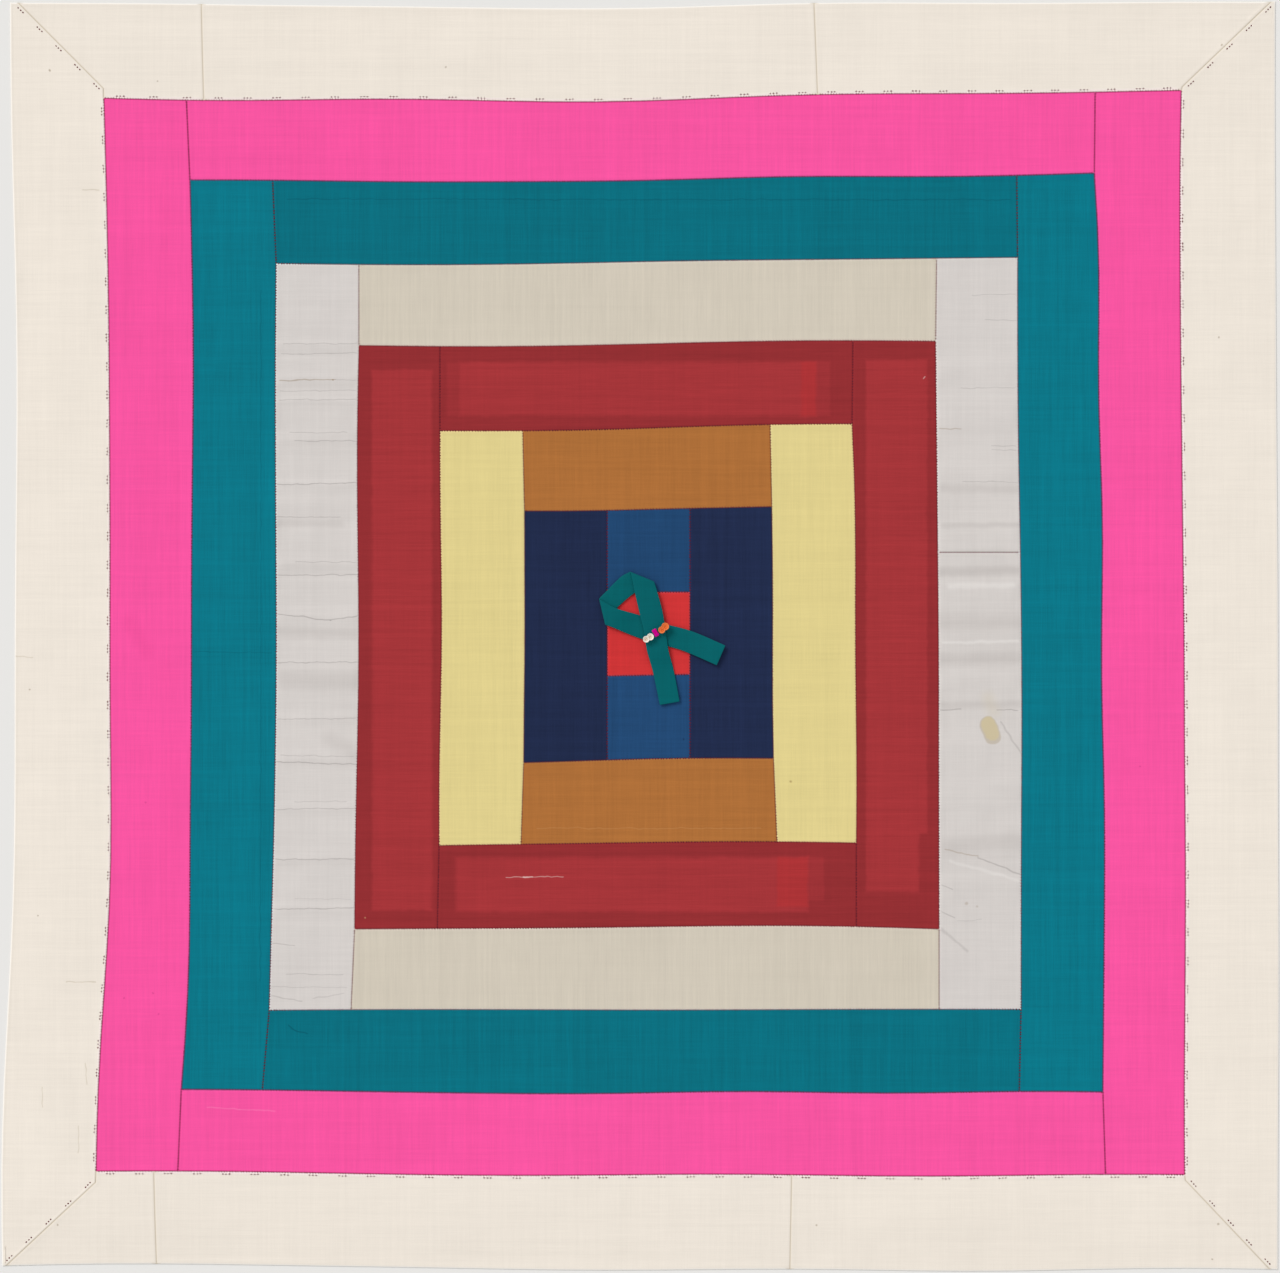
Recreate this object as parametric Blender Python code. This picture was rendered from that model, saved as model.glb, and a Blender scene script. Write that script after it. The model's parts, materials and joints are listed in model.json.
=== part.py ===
"""A patchwork wrapping cloth of silk strips, laid flat, with a folded ribbon tie at its middle.

Metres, +Z up. The cloth lies on z = 0 with its middle at the origin, +X to the right in plan
and +Y up the plan. Every table below is in millimetres.
"""
import math
from collections import namedtuple

import bmesh
import bpy
from mathutils import Matrix, Vector

MM = 0.001

# Thicknesses, clearances and how finely the pieces are cut
CLOTH_THICK = 1.2
GAP = 0.3
ROW_PITCH = 26.0
COLUMNS = (0.0, 0.5, 1.0)

# How unevenly the cloth lies: a soft swell that dies out under the tie
SWELL = 0.45
SWELL_LENGTH = Vector((149.0, 113.0))
SWELL_START = Vector((17.0, 34.0))
LEVEL_HALF_WIDTH = 85.0
LEVEL_FADE = 60.0

# Seams, from the outer edge inwards. Each is a four-sided ring: its corners, and how far each
# side bows outwards at even steps along it
Ring = namedtuple("Ring", "nw ne se sw top right bottom left")
RINGS = {
    "edge": Ring(
        (-365.5, 367.5), (368.5, 368.5), (370.0, -367.5), (-370.0, -365.5),
        (-0.7, -2.0, -3.3, -3.5, -1.0, -0.7, -0.3), (-0.2, 0.1, 0.5, 0.9, 0.8, 1.0, 0.5),
        (-1.6, -0.6, 0.7, 1.3, 0.5, 1.4, -0.2), (-1.7, -4.6, -5.2, -5.0, -5.4, -3.7, 0.3)),
    "cream_seam": Ring(
        (-311.0, 312.0), (314.0, 316.5), (316.0, -312.5), (-315.5, -310.5),
        (-1.9, -1.7, -3.4, -3.9, -1.4, -0.8, -0.9), (-1.0, -0.7, -0.1, 0.6, 0.8, 1.0, 0.2),
        (-0.1, 1.0, 1.7, 1.0, 0.7, 1.4, 0.4), (-2.6, -4.2, -5.2, -5.8, -6.8, -6.6, -2.3)),
    "pink_seam": Ring(
        (-261.0, 264.5), (263.5, 268.5), (268.5, -264.5), (-266.0, -263.0),
        (-0.9, -2.1, -2.5, -2.3, -1.0, -1.0, -1.3), (2.1, 1.4, 2.8, 1.8, 2.0, 2.3, 1.2),
        (0.4, 1.3, 1.9, 1.3, 0.3, 1.0, 0.1), (-2.2, -3.1, -3.0, -3.4, -3.7, -3.8, -3.5)),
    "teal_seam": Ring(
        (-211.0, 216.0), (219.0, 219.5), (221.0, -216.5), (-215.0, -217.0),
        (-1.6, -0.7, -0.2), (0.0, 1.2, 0.7), (-0.3, 0.1, -0.1), (-0.6, -2.1, -1.8)),
    "grey_seam": Ring(
        (-163.0, 168.5), (171.5, 171.0), (173.5, -170.0), (-165.5, -170.0),
        (-1.2, -0.3, 0.8), (0.3, 0.6, 0.3), (-0.5, -1.3, -2.0), (0.3, -1.1, -0.5)),
    "crimson_seam": Ring(
        (-116.0, 119.0), (123.0, 123.0), (125.5, -120.0), (-116.5, -121.5),
        (-0.9, -0.5, 0.4), (1.3, 0.7, 0.7), (-0.5, -1.0, -1.1), (-0.5, -1.2, -0.2)),
    "centre_seam": Ring(
        (-67.0, 72.5), (76.5, 75.0), (77.5, -71.0), (-67.5, -73.5),
        (-0.5, -0.3, -0.1), (0.2, 0.0, -0.3), (-0.5, -1.0, -0.8), (-0.2, -0.4, -0.2)),
}

# Bands of four strips, one ring to the next. The side strips run the band's full height, and
# the feet are where the short seams at their ends meet the outer ring
Band = namedtuple("Band", "sides ends outer inner foot_nw foot_ne foot_se foot_sw")
BANDS = (
    Band("pink", "pink", "cream_seam", "pink_seam", -263.0, 264.0, 270.0, -268.0),
    Band("teal", "teal", "pink_seam", "teal_seam", -213.0, 218.5, 220.0, -219.0),
    Band("grey", "beige", "teal_seam", "grey_seam", -163.0, 172.0, 173.5, -167.5),
    Band("crimson", "crimson", "grey_seam", "crimson_seam", -116.0, 123.5, 125.5, -117.5),
    Band("yellow", "ochre", "crimson_seam", "centre_seam", -68.0, 75.5, 79.5, -69.0),
)

# The cream border's side strips are cut slantwise at both ends. A mitre leaves the outer edge
# a little way in from the corner, and bends before it meets the corner of the pink ring
Mitre = namedtuple("Mitre", "outer bend")
MITRES = {
    "nw": Mitre((-360.8, 367.4), (-311.2, 317.6)),
    "ne": Mitre((366.1, 367.9), (314.5, 318.4)),
    "se": Mitre((365.4, -367.4), (316.3, -315.6)),
    "sw": Mitre((-367.7, -365.3), (-315.8, -317.0)),
}
SIDE_COLUMNS = (0.0, 0.06, 0.5, 1.0)
END_COLUMNS = (0.0, 0.45, 0.92, 1.0)

# The border's top and bottom are pieced from three
Join = namedtuple("Join", "outer_x inner_x")
CREAM_TOP_JOINS = (Join(-254.5, -253.0), Join(101.0, 103.0))
CREAM_BOTTOM_JOINS = (Join(-280.5, -282.0), Join(87.0, 88.0))
PIECE_NAMES = ("left", "middle", "right")
GREY_RIGHT_JOIN = 48.5

# The centre block: two navy strips and a column of blue, red, blue between them
COLUMN_LEFT = -19.0
COLUMN_RIGHT = 29.0
RED_TOP = (25.5, 25.5)
RED_BOTTOM = (-23.2, -22.3)

# Creases across the grey strips: where on Y, how high and how wide each one is
Fold = namedtuple("Fold", "y rise half_width")
GREY_LEFT_FOLDS = (
    Fold(169, 0.4, 3), Fold(162, -0.3, 3), Fold(149, 0.5, 3), Fold(143, -0.3, 2.5),
    Fold(136, 0.5, 2.5), Fold(115, 0.6, 4), Fold(88, 0.6, 3), Fold(66, -0.5, 6),
    Fold(42, 0.6, 3), Fold(35, -0.3, 2.5), Fold(11, 0.6, 4), Fold(-25, 0.5, 9),
    Fold(-48, 0.6, 3), Fold(-71, 0.6, 4), Fold(-100, 0.6, 3), Fold(-129, 0.6, 3),
    Fold(-158, 0.6, 3),
)
GREY_RIGHT_FOLDS = (
    Fold(155, 0.6, 6), Fold(127, 0.7, 9), Fold(96, 0.6, 7), Fold(58, 0.7, 9), Fold(25, 0.5, 7),
    Fold(0, 0.5, 7), Fold(-26, 0.6, 7), Fold(-60, 0.4, 10), Fold(-92, 0.6, 10),
    Fold(-124, 0.5, 5), Fold(-146, 0.5, 8),
)

# The tie: one ribbon, laid from its right tail round two folds to its lower tail. Each row is
# a cross line of the ribbon: its two edge points, the layer that it lies in and how far a
# tail stands off
RIBBON_THICK = 1.2
RIBBON_STEPS = 4
FOLD_STEPS = 6
RIBBON_COLUMNS = 2
Rung = namedtuple("Rung", "edge_a edge_b layer lift")
RIGHT_TAIL = (
    Rung((49.5, -5.5), (44.5, -17.0), 0, 1.5),
    Rung((29.5, 3.0), (24.5, -8.5), 0, 0.2),
    Rung((10.5, 8.0), (6.5, -3.5), 0, 0.0),
    Rung((0.0, 12.0), (-4.0, 0.0), 0, 0.0),
    Rung((-13.5, 16.0), (-16.0, 5.0), 1, 0.0),
    Rung((-24.0, 21.5), (-20.5, 6.5), 1, 0.0),
)
LOOP_BACK = (
    Rung((-24.0, 21.5), (-20.5, 6.5), 0, 0.0),
    Rung((-19.5, 26.0), (-13.0, 16.5), 0, 0.0),
    Rung((-11.5, 34.0), (-3.0, 25.0), 0, 0.0),
    Rung((-5.5, 37.5), (8.0, 32.0), 0, 0.0),
)
LOWER_TAIL = (
    Rung((-5.5, 37.5), (8.0, 32.0), 1, 0.0),
    Rung((-3.0, 25.0), (9.5, 27.5), 1, 0.0),
    Rung((0.0, 12.0), (12.8, 15.5), 1, 0.0),
    Rung((2.5, 1.5), (14.8, 4.0), 1, 0.0),
    Rung((4.0, -8.5), (16.5, -8.0), 1, 0.0),
    Rung((7.5, -21.0), (19.5, -19.5), 0, 0.0),
    Rung((11.5, -40.0), (23.0, -38.0), 0, 0.7),
)

# Three small knots of rolled silk, in a row across the tie. Two are pairs of rolls standing
# on end, and the one between them is a pair lying down
Roll = namedtuple("Roll", "x y radius")
WHITE_ROLLS = (Roll(3.6, -1.9, 1.95), Roll(6.0, -0.5, 2.1))
ORANGE_ROLLS = (Roll(12.6, 3.5, 2.05), Roll(14.6, 5.5, 2.25))
ROLL_HEIGHT = 2.8
ROLL_SIDES = 18
BOW_MIDDLE = (9.0, 1.9)
BOW_TURN = math.radians(32.0)
BOW_LENGTH = 4.7
BOW_RADIUS = 0.95
BOW_WAIST = 0.72
BOW_SPREAD = 0.58

# Finishes: colour as seen, 0 to 255, and roughness
Finish = namedtuple("Finish", "red green blue roughness")
FINISHES = {
    "cream": Finish(236, 227, 215, 0.75),
    "pink": Finish(247, 84, 161, 0.6),
    "teal": Finish(2, 116, 133, 0.6),
    "grey": Finish(212, 206, 202, 0.45),
    "beige": Finish(209, 200, 184, 0.6),
    "crimson": Finish(161, 51, 55, 0.65),
    "yellow": Finish(223, 207, 141, 0.6),
    "ochre": Finish(173, 110, 55, 0.6),
    "navy": Finish(31, 43, 75, 0.6),
    "blue": Finish(33, 72, 115, 0.6),
    "red": Finish(207, 52, 53, 0.6),
    "ribbon": Finish(0, 95, 100, 0.55),
    "white": Finish(240, 235, 225, 0.6),
    "magenta": Finish(200, 0, 140, 0.5),
    "orange": Finish(235, 130, 70, 0.55),
}


def linear(value):
    """One channel of a colour as seen, turned into the linear value that a shader takes."""
    share = value / 255.0
    if share <= 0.04045:
        return share / 12.92
    return ((share + 0.055) / 1.055) ** 2.4


def material(finish_name):
    """The silk of one colour, made once and shared by the pieces cut from it."""
    silk = bpy.data.materials.get(finish_name)
    if silk is None:
        finish = FINISHES[finish_name]
        colour = (linear(finish.red), linear(finish.green), linear(finish.blue), 1.0)
        silk = bpy.data.materials.new(finish_name)
        silk.use_nodes = True
        silk.diffuse_color = colour
        shader = silk.node_tree.nodes["Principled BSDF"]
        shader.inputs["Base Color"].default_value = colour
        shader.inputs["Roughness"].default_value = finish.roughness
        shader.inputs["Metallic"].default_value = 0.0
    return silk


def add_object(name, mesh_builder, finish_name):
    """Turn a bmesh in millimetres into a named object in metres, with its finish."""
    bmesh.ops.scale(mesh_builder, vec=(MM, MM, MM), verts=mesh_builder.verts)
    bmesh.ops.recalc_face_normals(mesh_builder, faces=mesh_builder.faces)
    mesh = bpy.data.meshes.new(name)
    mesh_builder.to_mesh(mesh)
    mesh_builder.free()
    mesh.materials.append(material(finish_name))
    piece = bpy.data.objects.new(name, mesh)
    bpy.context.scene.collection.objects.link(piece)
    return piece


def bow_at(readings, share):
    """Smooth curve through evenly spaced readings, nought at both ends of a side."""
    steps = len(readings) + 1
    total = 0.0
    for wave in range(1, steps):
        size = sum(value * math.sin(math.pi * wave * place / steps)
                   for place, value in enumerate(readings, start=1))
        total += 2.0 / steps * size * math.sin(math.pi * wave * share)
    return total


def side_point(ring_name, side, share):
    """A point on one side of a ring, from its left or top end (share 0) to the other (1)."""
    ring = RINGS[ring_name]
    start, end, outward = {
        "top": (ring.nw, ring.ne, Vector((0, 1))),
        "bottom": (ring.sw, ring.se, Vector((0, -1))),
        "left": (ring.nw, ring.sw, Vector((-1, 0))),
        "right": (ring.ne, ring.se, Vector((1, 0))),
    }[side]
    bow = bow_at(getattr(ring, side), share)
    return Vector(start).lerp(Vector(end), share) + outward * bow


def side_share(ring_name, side, place):
    """How far along a side a given X (top and bottom) or Y (left and right) lies."""
    ring = RINGS[ring_name]
    start, end, axis = {
        "top": (ring.nw, ring.ne, 0),
        "bottom": (ring.sw, ring.se, 0),
        "left": (ring.nw, ring.sw, 1),
        "right": (ring.ne, ring.se, 1),
    }[side]
    return (place - start[axis]) / (end[axis] - start[axis])


def side_curve(ring_name, side, first, last):
    """The stretch of a side between two shares, as a function of 0 to 1."""
    return lambda share: side_point(ring_name, side, first + (last - first) * share)


def straight(start, end):
    """A straight seam, as a function of 0 to 1."""
    return lambda share: Vector(start).lerp(Vector(end), share)


def cornered(points, bend_share):
    """A seam of two straight runs that meet at a given share, as a function of 0 to 1."""
    first, bend, last = (Vector(point) for point in points)

    def curve(share):
        if share <= bend_share:
            return first.lerp(bend, share / bend_share)
        return bend.lerp(last, (share - bend_share) / (1.0 - bend_share))

    return curve


def relief(x, y, folds):
    """How far the cloth's upper face stands over its plain thickness at a point."""
    wave = (math.sin((x + SWELL_START.x) / SWELL_LENGTH.x * math.tau)
            * math.sin((y + SWELL_START.y) / SWELL_LENGTH.y * math.tau))
    from_middle = max(abs(x), abs(y)) - LEVEL_HALF_WIDTH
    fade = min(max(from_middle / LEVEL_FADE, 0.0), 1.0)
    crease = sum(fold.rise * math.exp(-((y - fold.y) / fold.half_width) ** 2) for fold in folds)
    return fade * SWELL * (1.0 + wave) * 0.5 + max(crease, -0.1)


def coons_point(near, far, start, finish, along, across):
    """A point of the patch that four boundary curves frame."""
    sides = near(along).lerp(far(along), across)
    ends = start(across).lerp(finish(across), along)
    corners = near(0.0).lerp(far(0.0), across).lerp(near(1.0).lerp(far(1.0), across), along)
    return sides + ends - corners


def pulled_in(grid):
    """The same grid with its outline drawn in by half the gap on every side."""
    rows, columns = len(grid), len(grid[0])

    def step(point, inner, edge_a, edge_b):
        inward = (inner - point).normalized()
        along = (edge_b - edge_a).normalized()
        return inward * (GAP / 2 / max(abs(inward.cross(along)), 0.3))

    moves = [[Vector((0.0, 0.0)) for _ in range(columns)] for _ in range(rows)]
    for row in range(rows):
        before, after = grid[max(row - 1, 0)], grid[min(row + 1, rows - 1)]
        line = grid[row]
        moves[row][0] += step(line[0], line[1], before[0], after[0])
        moves[row][-1] += step(line[-1], line[-2], before[-1], after[-1])
    for column in range(columns):
        low, high = max(column - 1, 0), min(column + 1, columns - 1)
        moves[0][column] += step(grid[0][column], grid[1][column], grid[0][low], grid[0][high])
        moves[-1][column] += step(grid[-1][column], grid[-2][column], grid[-1][low], grid[-1][high])
    return [[point + move for point, move in zip(line, shifts)]
            for line, shifts in zip(grid, moves)]


def add_patch(name, finish_name, near, far, start, finish, fixed_rows=(), folds=(),
              columns=COLUMNS):
    """One piece of cloth: a grid over the patch, pulled in from its seams and thickened."""
    length = (near(1.0) - near(0.0)).length
    count = max(2, round(length / ROW_PITCH))
    shares = {index / count for index in range(count + 1)}
    low, high = sorted((near(0.0).y, near(1.0).y))
    for fold in folds:
        for place in (fold.y - fold.half_width, fold.y, fold.y + fold.half_width):
            if low + 2 < place < high - 2:
                shares.add((near(0.0).y - place) / (near(0.0).y - near(1.0).y))
    closest = 0.06 / count if folds else 0.3 / count
    shares = [share for share in sorted(shares)
              if all(abs(share - kept) > closest for kept in fixed_rows)]
    shares = sorted(set(shares) | set(fixed_rows))
    grid = [[coons_point(near, far, start, finish, share, column) for column in columns]
            for share in shares]
    grid = pulled_in(grid)

    builder = bmesh.new()
    verts = [[builder.verts.new((point.x, point.y, 0.0)) for point in line] for line in grid]
    for above, below in zip(verts, verts[1:]):
        for column in range(len(columns) - 1):
            builder.faces.new((above[column], above[column + 1], below[column + 1], below[column]))
    raised = bmesh.ops.extrude_face_region(builder, geom=builder.faces[:])
    for vert in raised["geom"]:
        if isinstance(vert, bmesh.types.BMVert):
            vert.co.z = CLOTH_THICK + relief(vert.co.x, vert.co.y, folds)
    return add_object(name, builder, finish_name)


def bent(outer, inner, side, foot_top, foot_bottom):
    """The inner edge of a side strip: end seam, ring side, end seam. Also gives its bends."""
    first = side_point(inner, side, 0.0)
    last = side_point(inner, side, 1.0)
    upper = side_share(outer, side, first.y)
    lower = side_share(outer, side, last.y)

    def curve(share):
        if share <= upper:
            return foot_top.lerp(first, share / upper)
        if share >= lower:
            return last.lerp(foot_bottom, (share - lower) / (1.0 - lower))
        return side_point(inner, side, (share - upper) / (lower - upper))

    return curve, (upper, lower)


def add_side_strip(name, finish_name, band, side, span=(0.0, 1.0), folds=()):
    """A left or right strip, or the stretch of one between two shares of its height."""
    corner, feet = ((0.0, (band.foot_nw, band.foot_sw)) if side == "left"
                    else (1.0, (band.foot_ne, band.foot_se)))
    top_share = side_share(band.outer, "top", feet[0])
    bottom_share = side_share(band.outer, "bottom", feet[1])
    inner, bends = bent(band.outer, band.inner, side, side_point(band.outer, "top", top_share),
                        side_point(band.outer, "bottom", bottom_share))
    first, last = span
    size = last - first
    near = side_curve(band.outer, side, first, last)
    start = side_curve(band.outer, "top", corner, top_share)
    finish = side_curve(band.outer, "bottom", corner, bottom_share)
    if first > 0.0:
        start = straight(near(0.0), inner(first))
    if last < 1.0:
        finish = straight(near(1.0), inner(last))
    rows = [(bend - first) / size for bend in bends if first < bend < last]
    return add_patch(name, finish_name, near, lambda share: inner(first + size * share),
                     start, finish, rows, folds)


def add_end_strip(name, finish_name, outer, inner, side, outer_x, inner_x):
    """A top or bottom strip between two short seams, given by their X on either ring."""
    near = side_curve(outer, side, *(side_share(outer, side, x) for x in outer_x))
    far = side_curve(inner, side, *(side_share(inner, side, x) for x in inner_x))
    return add_patch(name, finish_name, near, far,
                     straight(near(0.0), far(0.0)), straight(near(1.0), far(1.0)))


def add_bands():
    """The strips of every ring from the pink to the yellow and ochre."""
    for band in BANDS:
        inner = RINGS[band.inner]
        if band.sides == "grey":
            join = side_share(band.outer, "right", GREY_RIGHT_JOIN)
            add_side_strip("grey_left", "grey", band, "left", folds=GREY_LEFT_FOLDS)
            add_side_strip("grey_right_upper", "grey", band, "right", (0.0, join), GREY_RIGHT_FOLDS)
            add_side_strip("grey_right_lower", "grey", band, "right", (join, 1.0), GREY_RIGHT_FOLDS)
        else:
            for side in ("left", "right"):
                add_side_strip(f"{band.sides}_{side}", band.sides, band, side)
        add_end_strip(f"{band.ends}_top", band.ends, band.outer, band.inner, "top",
                      (band.foot_nw, band.foot_ne), (inner.nw[0], inner.ne[0]))
        add_end_strip(f"{band.ends}_bottom", band.ends, band.outer, band.inner, "bottom",
                      (band.foot_sw, band.foot_se), (inner.sw[0], inner.se[0]))


def add_border():
    """The cream border: mitred side strips, and a top and bottom of three pieces each."""
    outer, inner = RINGS["edge"], RINGS["cream_seam"]
    for side, corners in (("left", ("nw", "sw")), ("right", ("ne", "se"))):
        mitres = [MITRES[corner] for corner in corners]
        far, bends = bent("edge", "cream_seam", side, *(Vector(mitre.bend) for mitre in mitres))
        ends = [cornered((getattr(outer, corner), mitre.outer, mitre.bend), SIDE_COLUMNS[1])
                for corner, mitre in zip(corners, mitres)]
        add_patch(f"cream_{side}", "cream", side_curve("edge", side, 0.0, 1.0), far, *ends,
                  fixed_rows=bends, columns=SIDE_COLUMNS)
    for side, corners, joins in (("top", ("nw", "ne"), CREAM_TOP_JOINS),
                                 ("bottom", ("sw", "se"), CREAM_BOTTOM_JOINS)):
        mitres = [MITRES[corner] for corner in corners]
        seams = [cornered((mitre.outer, mitre.bend, getattr(inner, corner)), END_COLUMNS[2])
                 for corner, mitre in zip(corners, mitres)]
        places = [Join(mitre.outer[0], getattr(inner, corner)[0])
                  for corner, mitre in zip(corners, mitres)]
        places[1:1] = joins
        for index, piece in enumerate(PIECE_NAMES):
            left, right = places[index], places[index + 1]
            near = side_curve("edge", side, *(side_share("edge", side, place.outer_x)
                                              for place in (left, right)))
            far = side_curve("cream_seam", side, *(side_share("cream_seam", side, place.inner_x)
                                                   for place in (left, right)))
            start = seams[0] if index == 0 else straight(near(0.0), far(0.0))
            finish = seams[1] if index == 2 else straight(near(1.0), far(1.0))
            add_patch(f"cream_{side}_{piece}", "cream", near, far, start, finish,
                      columns=END_COLUMNS)


def add_centre():
    """The centre block: navy at either side, and blue, red, blue down the middle."""
    ring = "centre_seam"
    columns = [(side_share(ring, "top", x), side_share(ring, "bottom", x))
               for x in (COLUMN_LEFT, COLUMN_RIGHT)]
    tops = [side_point(ring, "top", column[0]) for column in columns]
    bottoms = [side_point(ring, "bottom", column[1]) for column in columns]
    for name, side, column, end in (("navy_left", "left", 0, 0.0), ("navy_right", "right", 1, 1.0)):
        add_patch(name, "navy", side_curve(ring, side, 0.0, 1.0),
                  straight(tops[column], bottoms[column]),
                  side_curve(ring, "top", end, columns[column][0]),
                  side_curve(ring, "bottom", end, columns[column][1]))

    def cross_seam(heights):
        return straight(*(top.lerp(bottom, (top.y - y) / (top.y - bottom.y))
                          for top, bottom, y in zip(tops, bottoms, heights)))

    seams = (side_curve(ring, "top", columns[0][0], columns[1][0]), cross_seam(RED_TOP),
             cross_seam(RED_BOTTOM), side_curve(ring, "bottom", columns[0][1], columns[1][1]))
    pieces = (("blue_top", "blue"), ("red_square", "red"), ("blue_bottom", "blue"))
    for (name, finish_name), upper, lower in zip(pieces, seams, seams[1:]):
        add_patch(name, finish_name, straight(upper(0.0), lower(0.0)),
                  straight(upper(1.0), lower(1.0)), upper, lower)


def layer_height(layer, lift=0.0):
    """Height of the ribbon's middle surface in a layer of the tie."""
    return CLOTH_THICK + GAP + RIBBON_THICK / 2 + layer * (RIBBON_THICK + GAP) + lift


def spline(points, index, share):
    """Catmull-Rom point between two of a row of points."""
    before = points[max(index - 1, 0)]
    start, end = points[index], points[index + 1]
    after = points[min(index + 2, len(points) - 1)]
    pull_start, pull_end = (end - before) / 2, (after - start) / 2
    square, cube = share ** 2, share ** 3
    return (start * (2 * cube - 3 * square + 1) + pull_start * (cube - 2 * square + share)
            + end * (3 * square - 2 * cube) + pull_end * (cube - square))


def drawn_back(rungs, at_start):
    """Move a stretch's fold rung back from the crease, to where the ribbon starts to turn."""
    fold, neighbour = (rungs[0], rungs[1]) if at_start else (rungs[-1], rungs[-2])
    edge_a, edge_b = Vector(fold.edge_a), Vector(fold.edge_b)
    inward = (edge_b - edge_a).orthogonal().normalized()
    middle = (Vector(neighbour.edge_a) + Vector(neighbour.edge_b) - edge_a - edge_b) / 2
    if inward.dot(middle) < 0:
        inward.negate()
    depth = layer_height(0.5) - layer_height(0) + RIBBON_THICK / 2
    moved = []
    for corner, beyond in ((edge_a, neighbour.edge_a), (edge_b, neighbour.edge_b)):
        run = Vector(beyond) - corner
        moved.append(corner + run * (depth / run.dot(inward)))
    rung = Rung(moved[0], moved[1], fold.layer, fold.lift)
    return ((rung,) + rungs[1:] if at_start else rungs[:-1] + (rung,)), -inward


def stretch_lines(rungs):
    """Cross lines of one flat stretch of the ribbon, as pairs of points."""
    edges_a = [Vector(rung.edge_a) for rung in rungs]
    edges_b = [Vector(rung.edge_b) for rung in rungs]
    heights = [layer_height(rung.layer, rung.lift) for rung in rungs]
    lines = []
    for index in range(len(rungs) - 1):
        for step in range(RIBBON_STEPS + (index == len(rungs) - 2)):
            share = step / RIBBON_STEPS
            ease = share * share * (3 - 2 * share)
            height = heights[index] + (heights[index + 1] - heights[index]) * ease
            lines.append([Vector((*spline(edges, index, share), height))
                          for edges in (edges_a, edges_b)])
    return lines


def fold_lines(before, after, outward):
    """Cross lines of the half turn that joins one stretch to the next at a fold."""
    radius = abs(after[0].z - before[0].z) / 2
    lines = []
    for step in range(1, FOLD_STEPS):
        angle = math.pi * step / FOLD_STEPS
        line = []
        for start, end in zip(before, after):
            point = start.lerp(end, step / FOLD_STEPS)
            point.z = (start.z + end.z) / 2 + (start.z - end.z) / 2 * math.cos(angle)
            line.append(point + outward.to_3d() * (radius * math.sin(angle)))
        lines.append(line)
    return lines


def add_tie():
    """The folded ribbon: flat stretches and half turns along one strip, then thickened."""
    right_tail, outward_one = drawn_back(RIGHT_TAIL, at_start=False)
    loop_back, _ = drawn_back(LOOP_BACK, at_start=True)
    loop_back, outward_two = drawn_back(loop_back, at_start=False)
    lower_tail, _ = drawn_back(LOWER_TAIL, at_start=True)
    first, second, third = (stretch_lines(rungs) for rungs in (right_tail, loop_back, lower_tail))
    lines = (first + fold_lines(first[-1], second[0], outward_one)
             + second + fold_lines(second[-1], third[0], outward_two) + third)

    builder = bmesh.new()
    rows = [[builder.verts.new(line[0].lerp(line[1], column / RIBBON_COLUMNS))
             for column in range(RIBBON_COLUMNS + 1)] for line in lines]
    for above, below in zip(rows, rows[1:]):
        for column in range(RIBBON_COLUMNS):
            builder.faces.new((above[column], above[column + 1], below[column + 1], below[column]))
    ribbon = add_object("tie_ribbon", builder, "ribbon")
    wall = ribbon.modifiers.new("Cloth", "SOLIDIFY")
    wall.thickness = RIBBON_THICK * MM
    wall.offset = 0.0
    wall.use_even_offset = True


def turned(builder, profile, matrix):
    """Turn a profile of (radius, height) points round its axis and put it in place."""
    verts = [builder.verts.new((radius, 0.0, height)) for radius, height in profile]
    edges = [builder.edges.new(pair) for pair in zip(verts, verts[1:])]
    bmesh.ops.spin(builder, geom=verts + edges, cent=(0, 0, 0), axis=(0, 0, 1),
                   angle=math.tau, steps=ROLL_SIDES, use_duplicate=False)
    bmesh.ops.remove_doubles(builder, verts=builder.verts, dist=0.001)
    bmesh.ops.transform(builder, matrix=matrix, verts=builder.verts)


def add_pair(name, finish_name, bodies):
    """A knot of two rolls: each is (profile, matrix), and the two are made one body."""
    pieces = []
    for suffix, (profile, matrix) in zip(("", "_second"), bodies):
        builder = bmesh.new()
        turned(builder, profile, matrix)
        pieces.append(add_object(name + suffix, builder, finish_name))
    knot, second = pieces
    second.hide_render = True
    second.display_type = "WIRE"
    union = knot.modifiers.new("Second roll", "BOOLEAN")
    union.operation = "UNION"
    union.solver = "EXACT"
    union.object = second
    return knot


def standing_roll(radius):
    """Outline of a roll on end: soft rims, and a hollow top with the roll's core in it."""
    top = ROLL_HEIGHT
    return ((0.0, 0.0), (radius - 0.35, 0.0), (radius, 0.4), (radius + 0.05, top * 0.55),
            (radius - 0.05, top - 0.35), (radius - 0.35, top), (radius - 0.7, top - 0.1),
            (radius - 0.95, top - 0.7), (0.45, top - 0.75), (0.25, top - 0.4), (0.0, top - 0.35))


def lying_roll():
    """Outline of a roll that lies down: round ends and a drawn-in waist."""
    half = BOW_LENGTH / 2
    return ((0.0, -half), (BOW_RADIUS * 0.6, -half + 0.05), (BOW_RADIUS, -half + 0.5),
            (BOW_RADIUS * 0.95, -half * 0.45), (BOW_WAIST, 0.0), (BOW_RADIUS * 0.95, half * 0.45),
            (BOW_RADIUS, half - 0.5), (BOW_RADIUS * 0.6, half - 0.05), (0.0, half))


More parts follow.
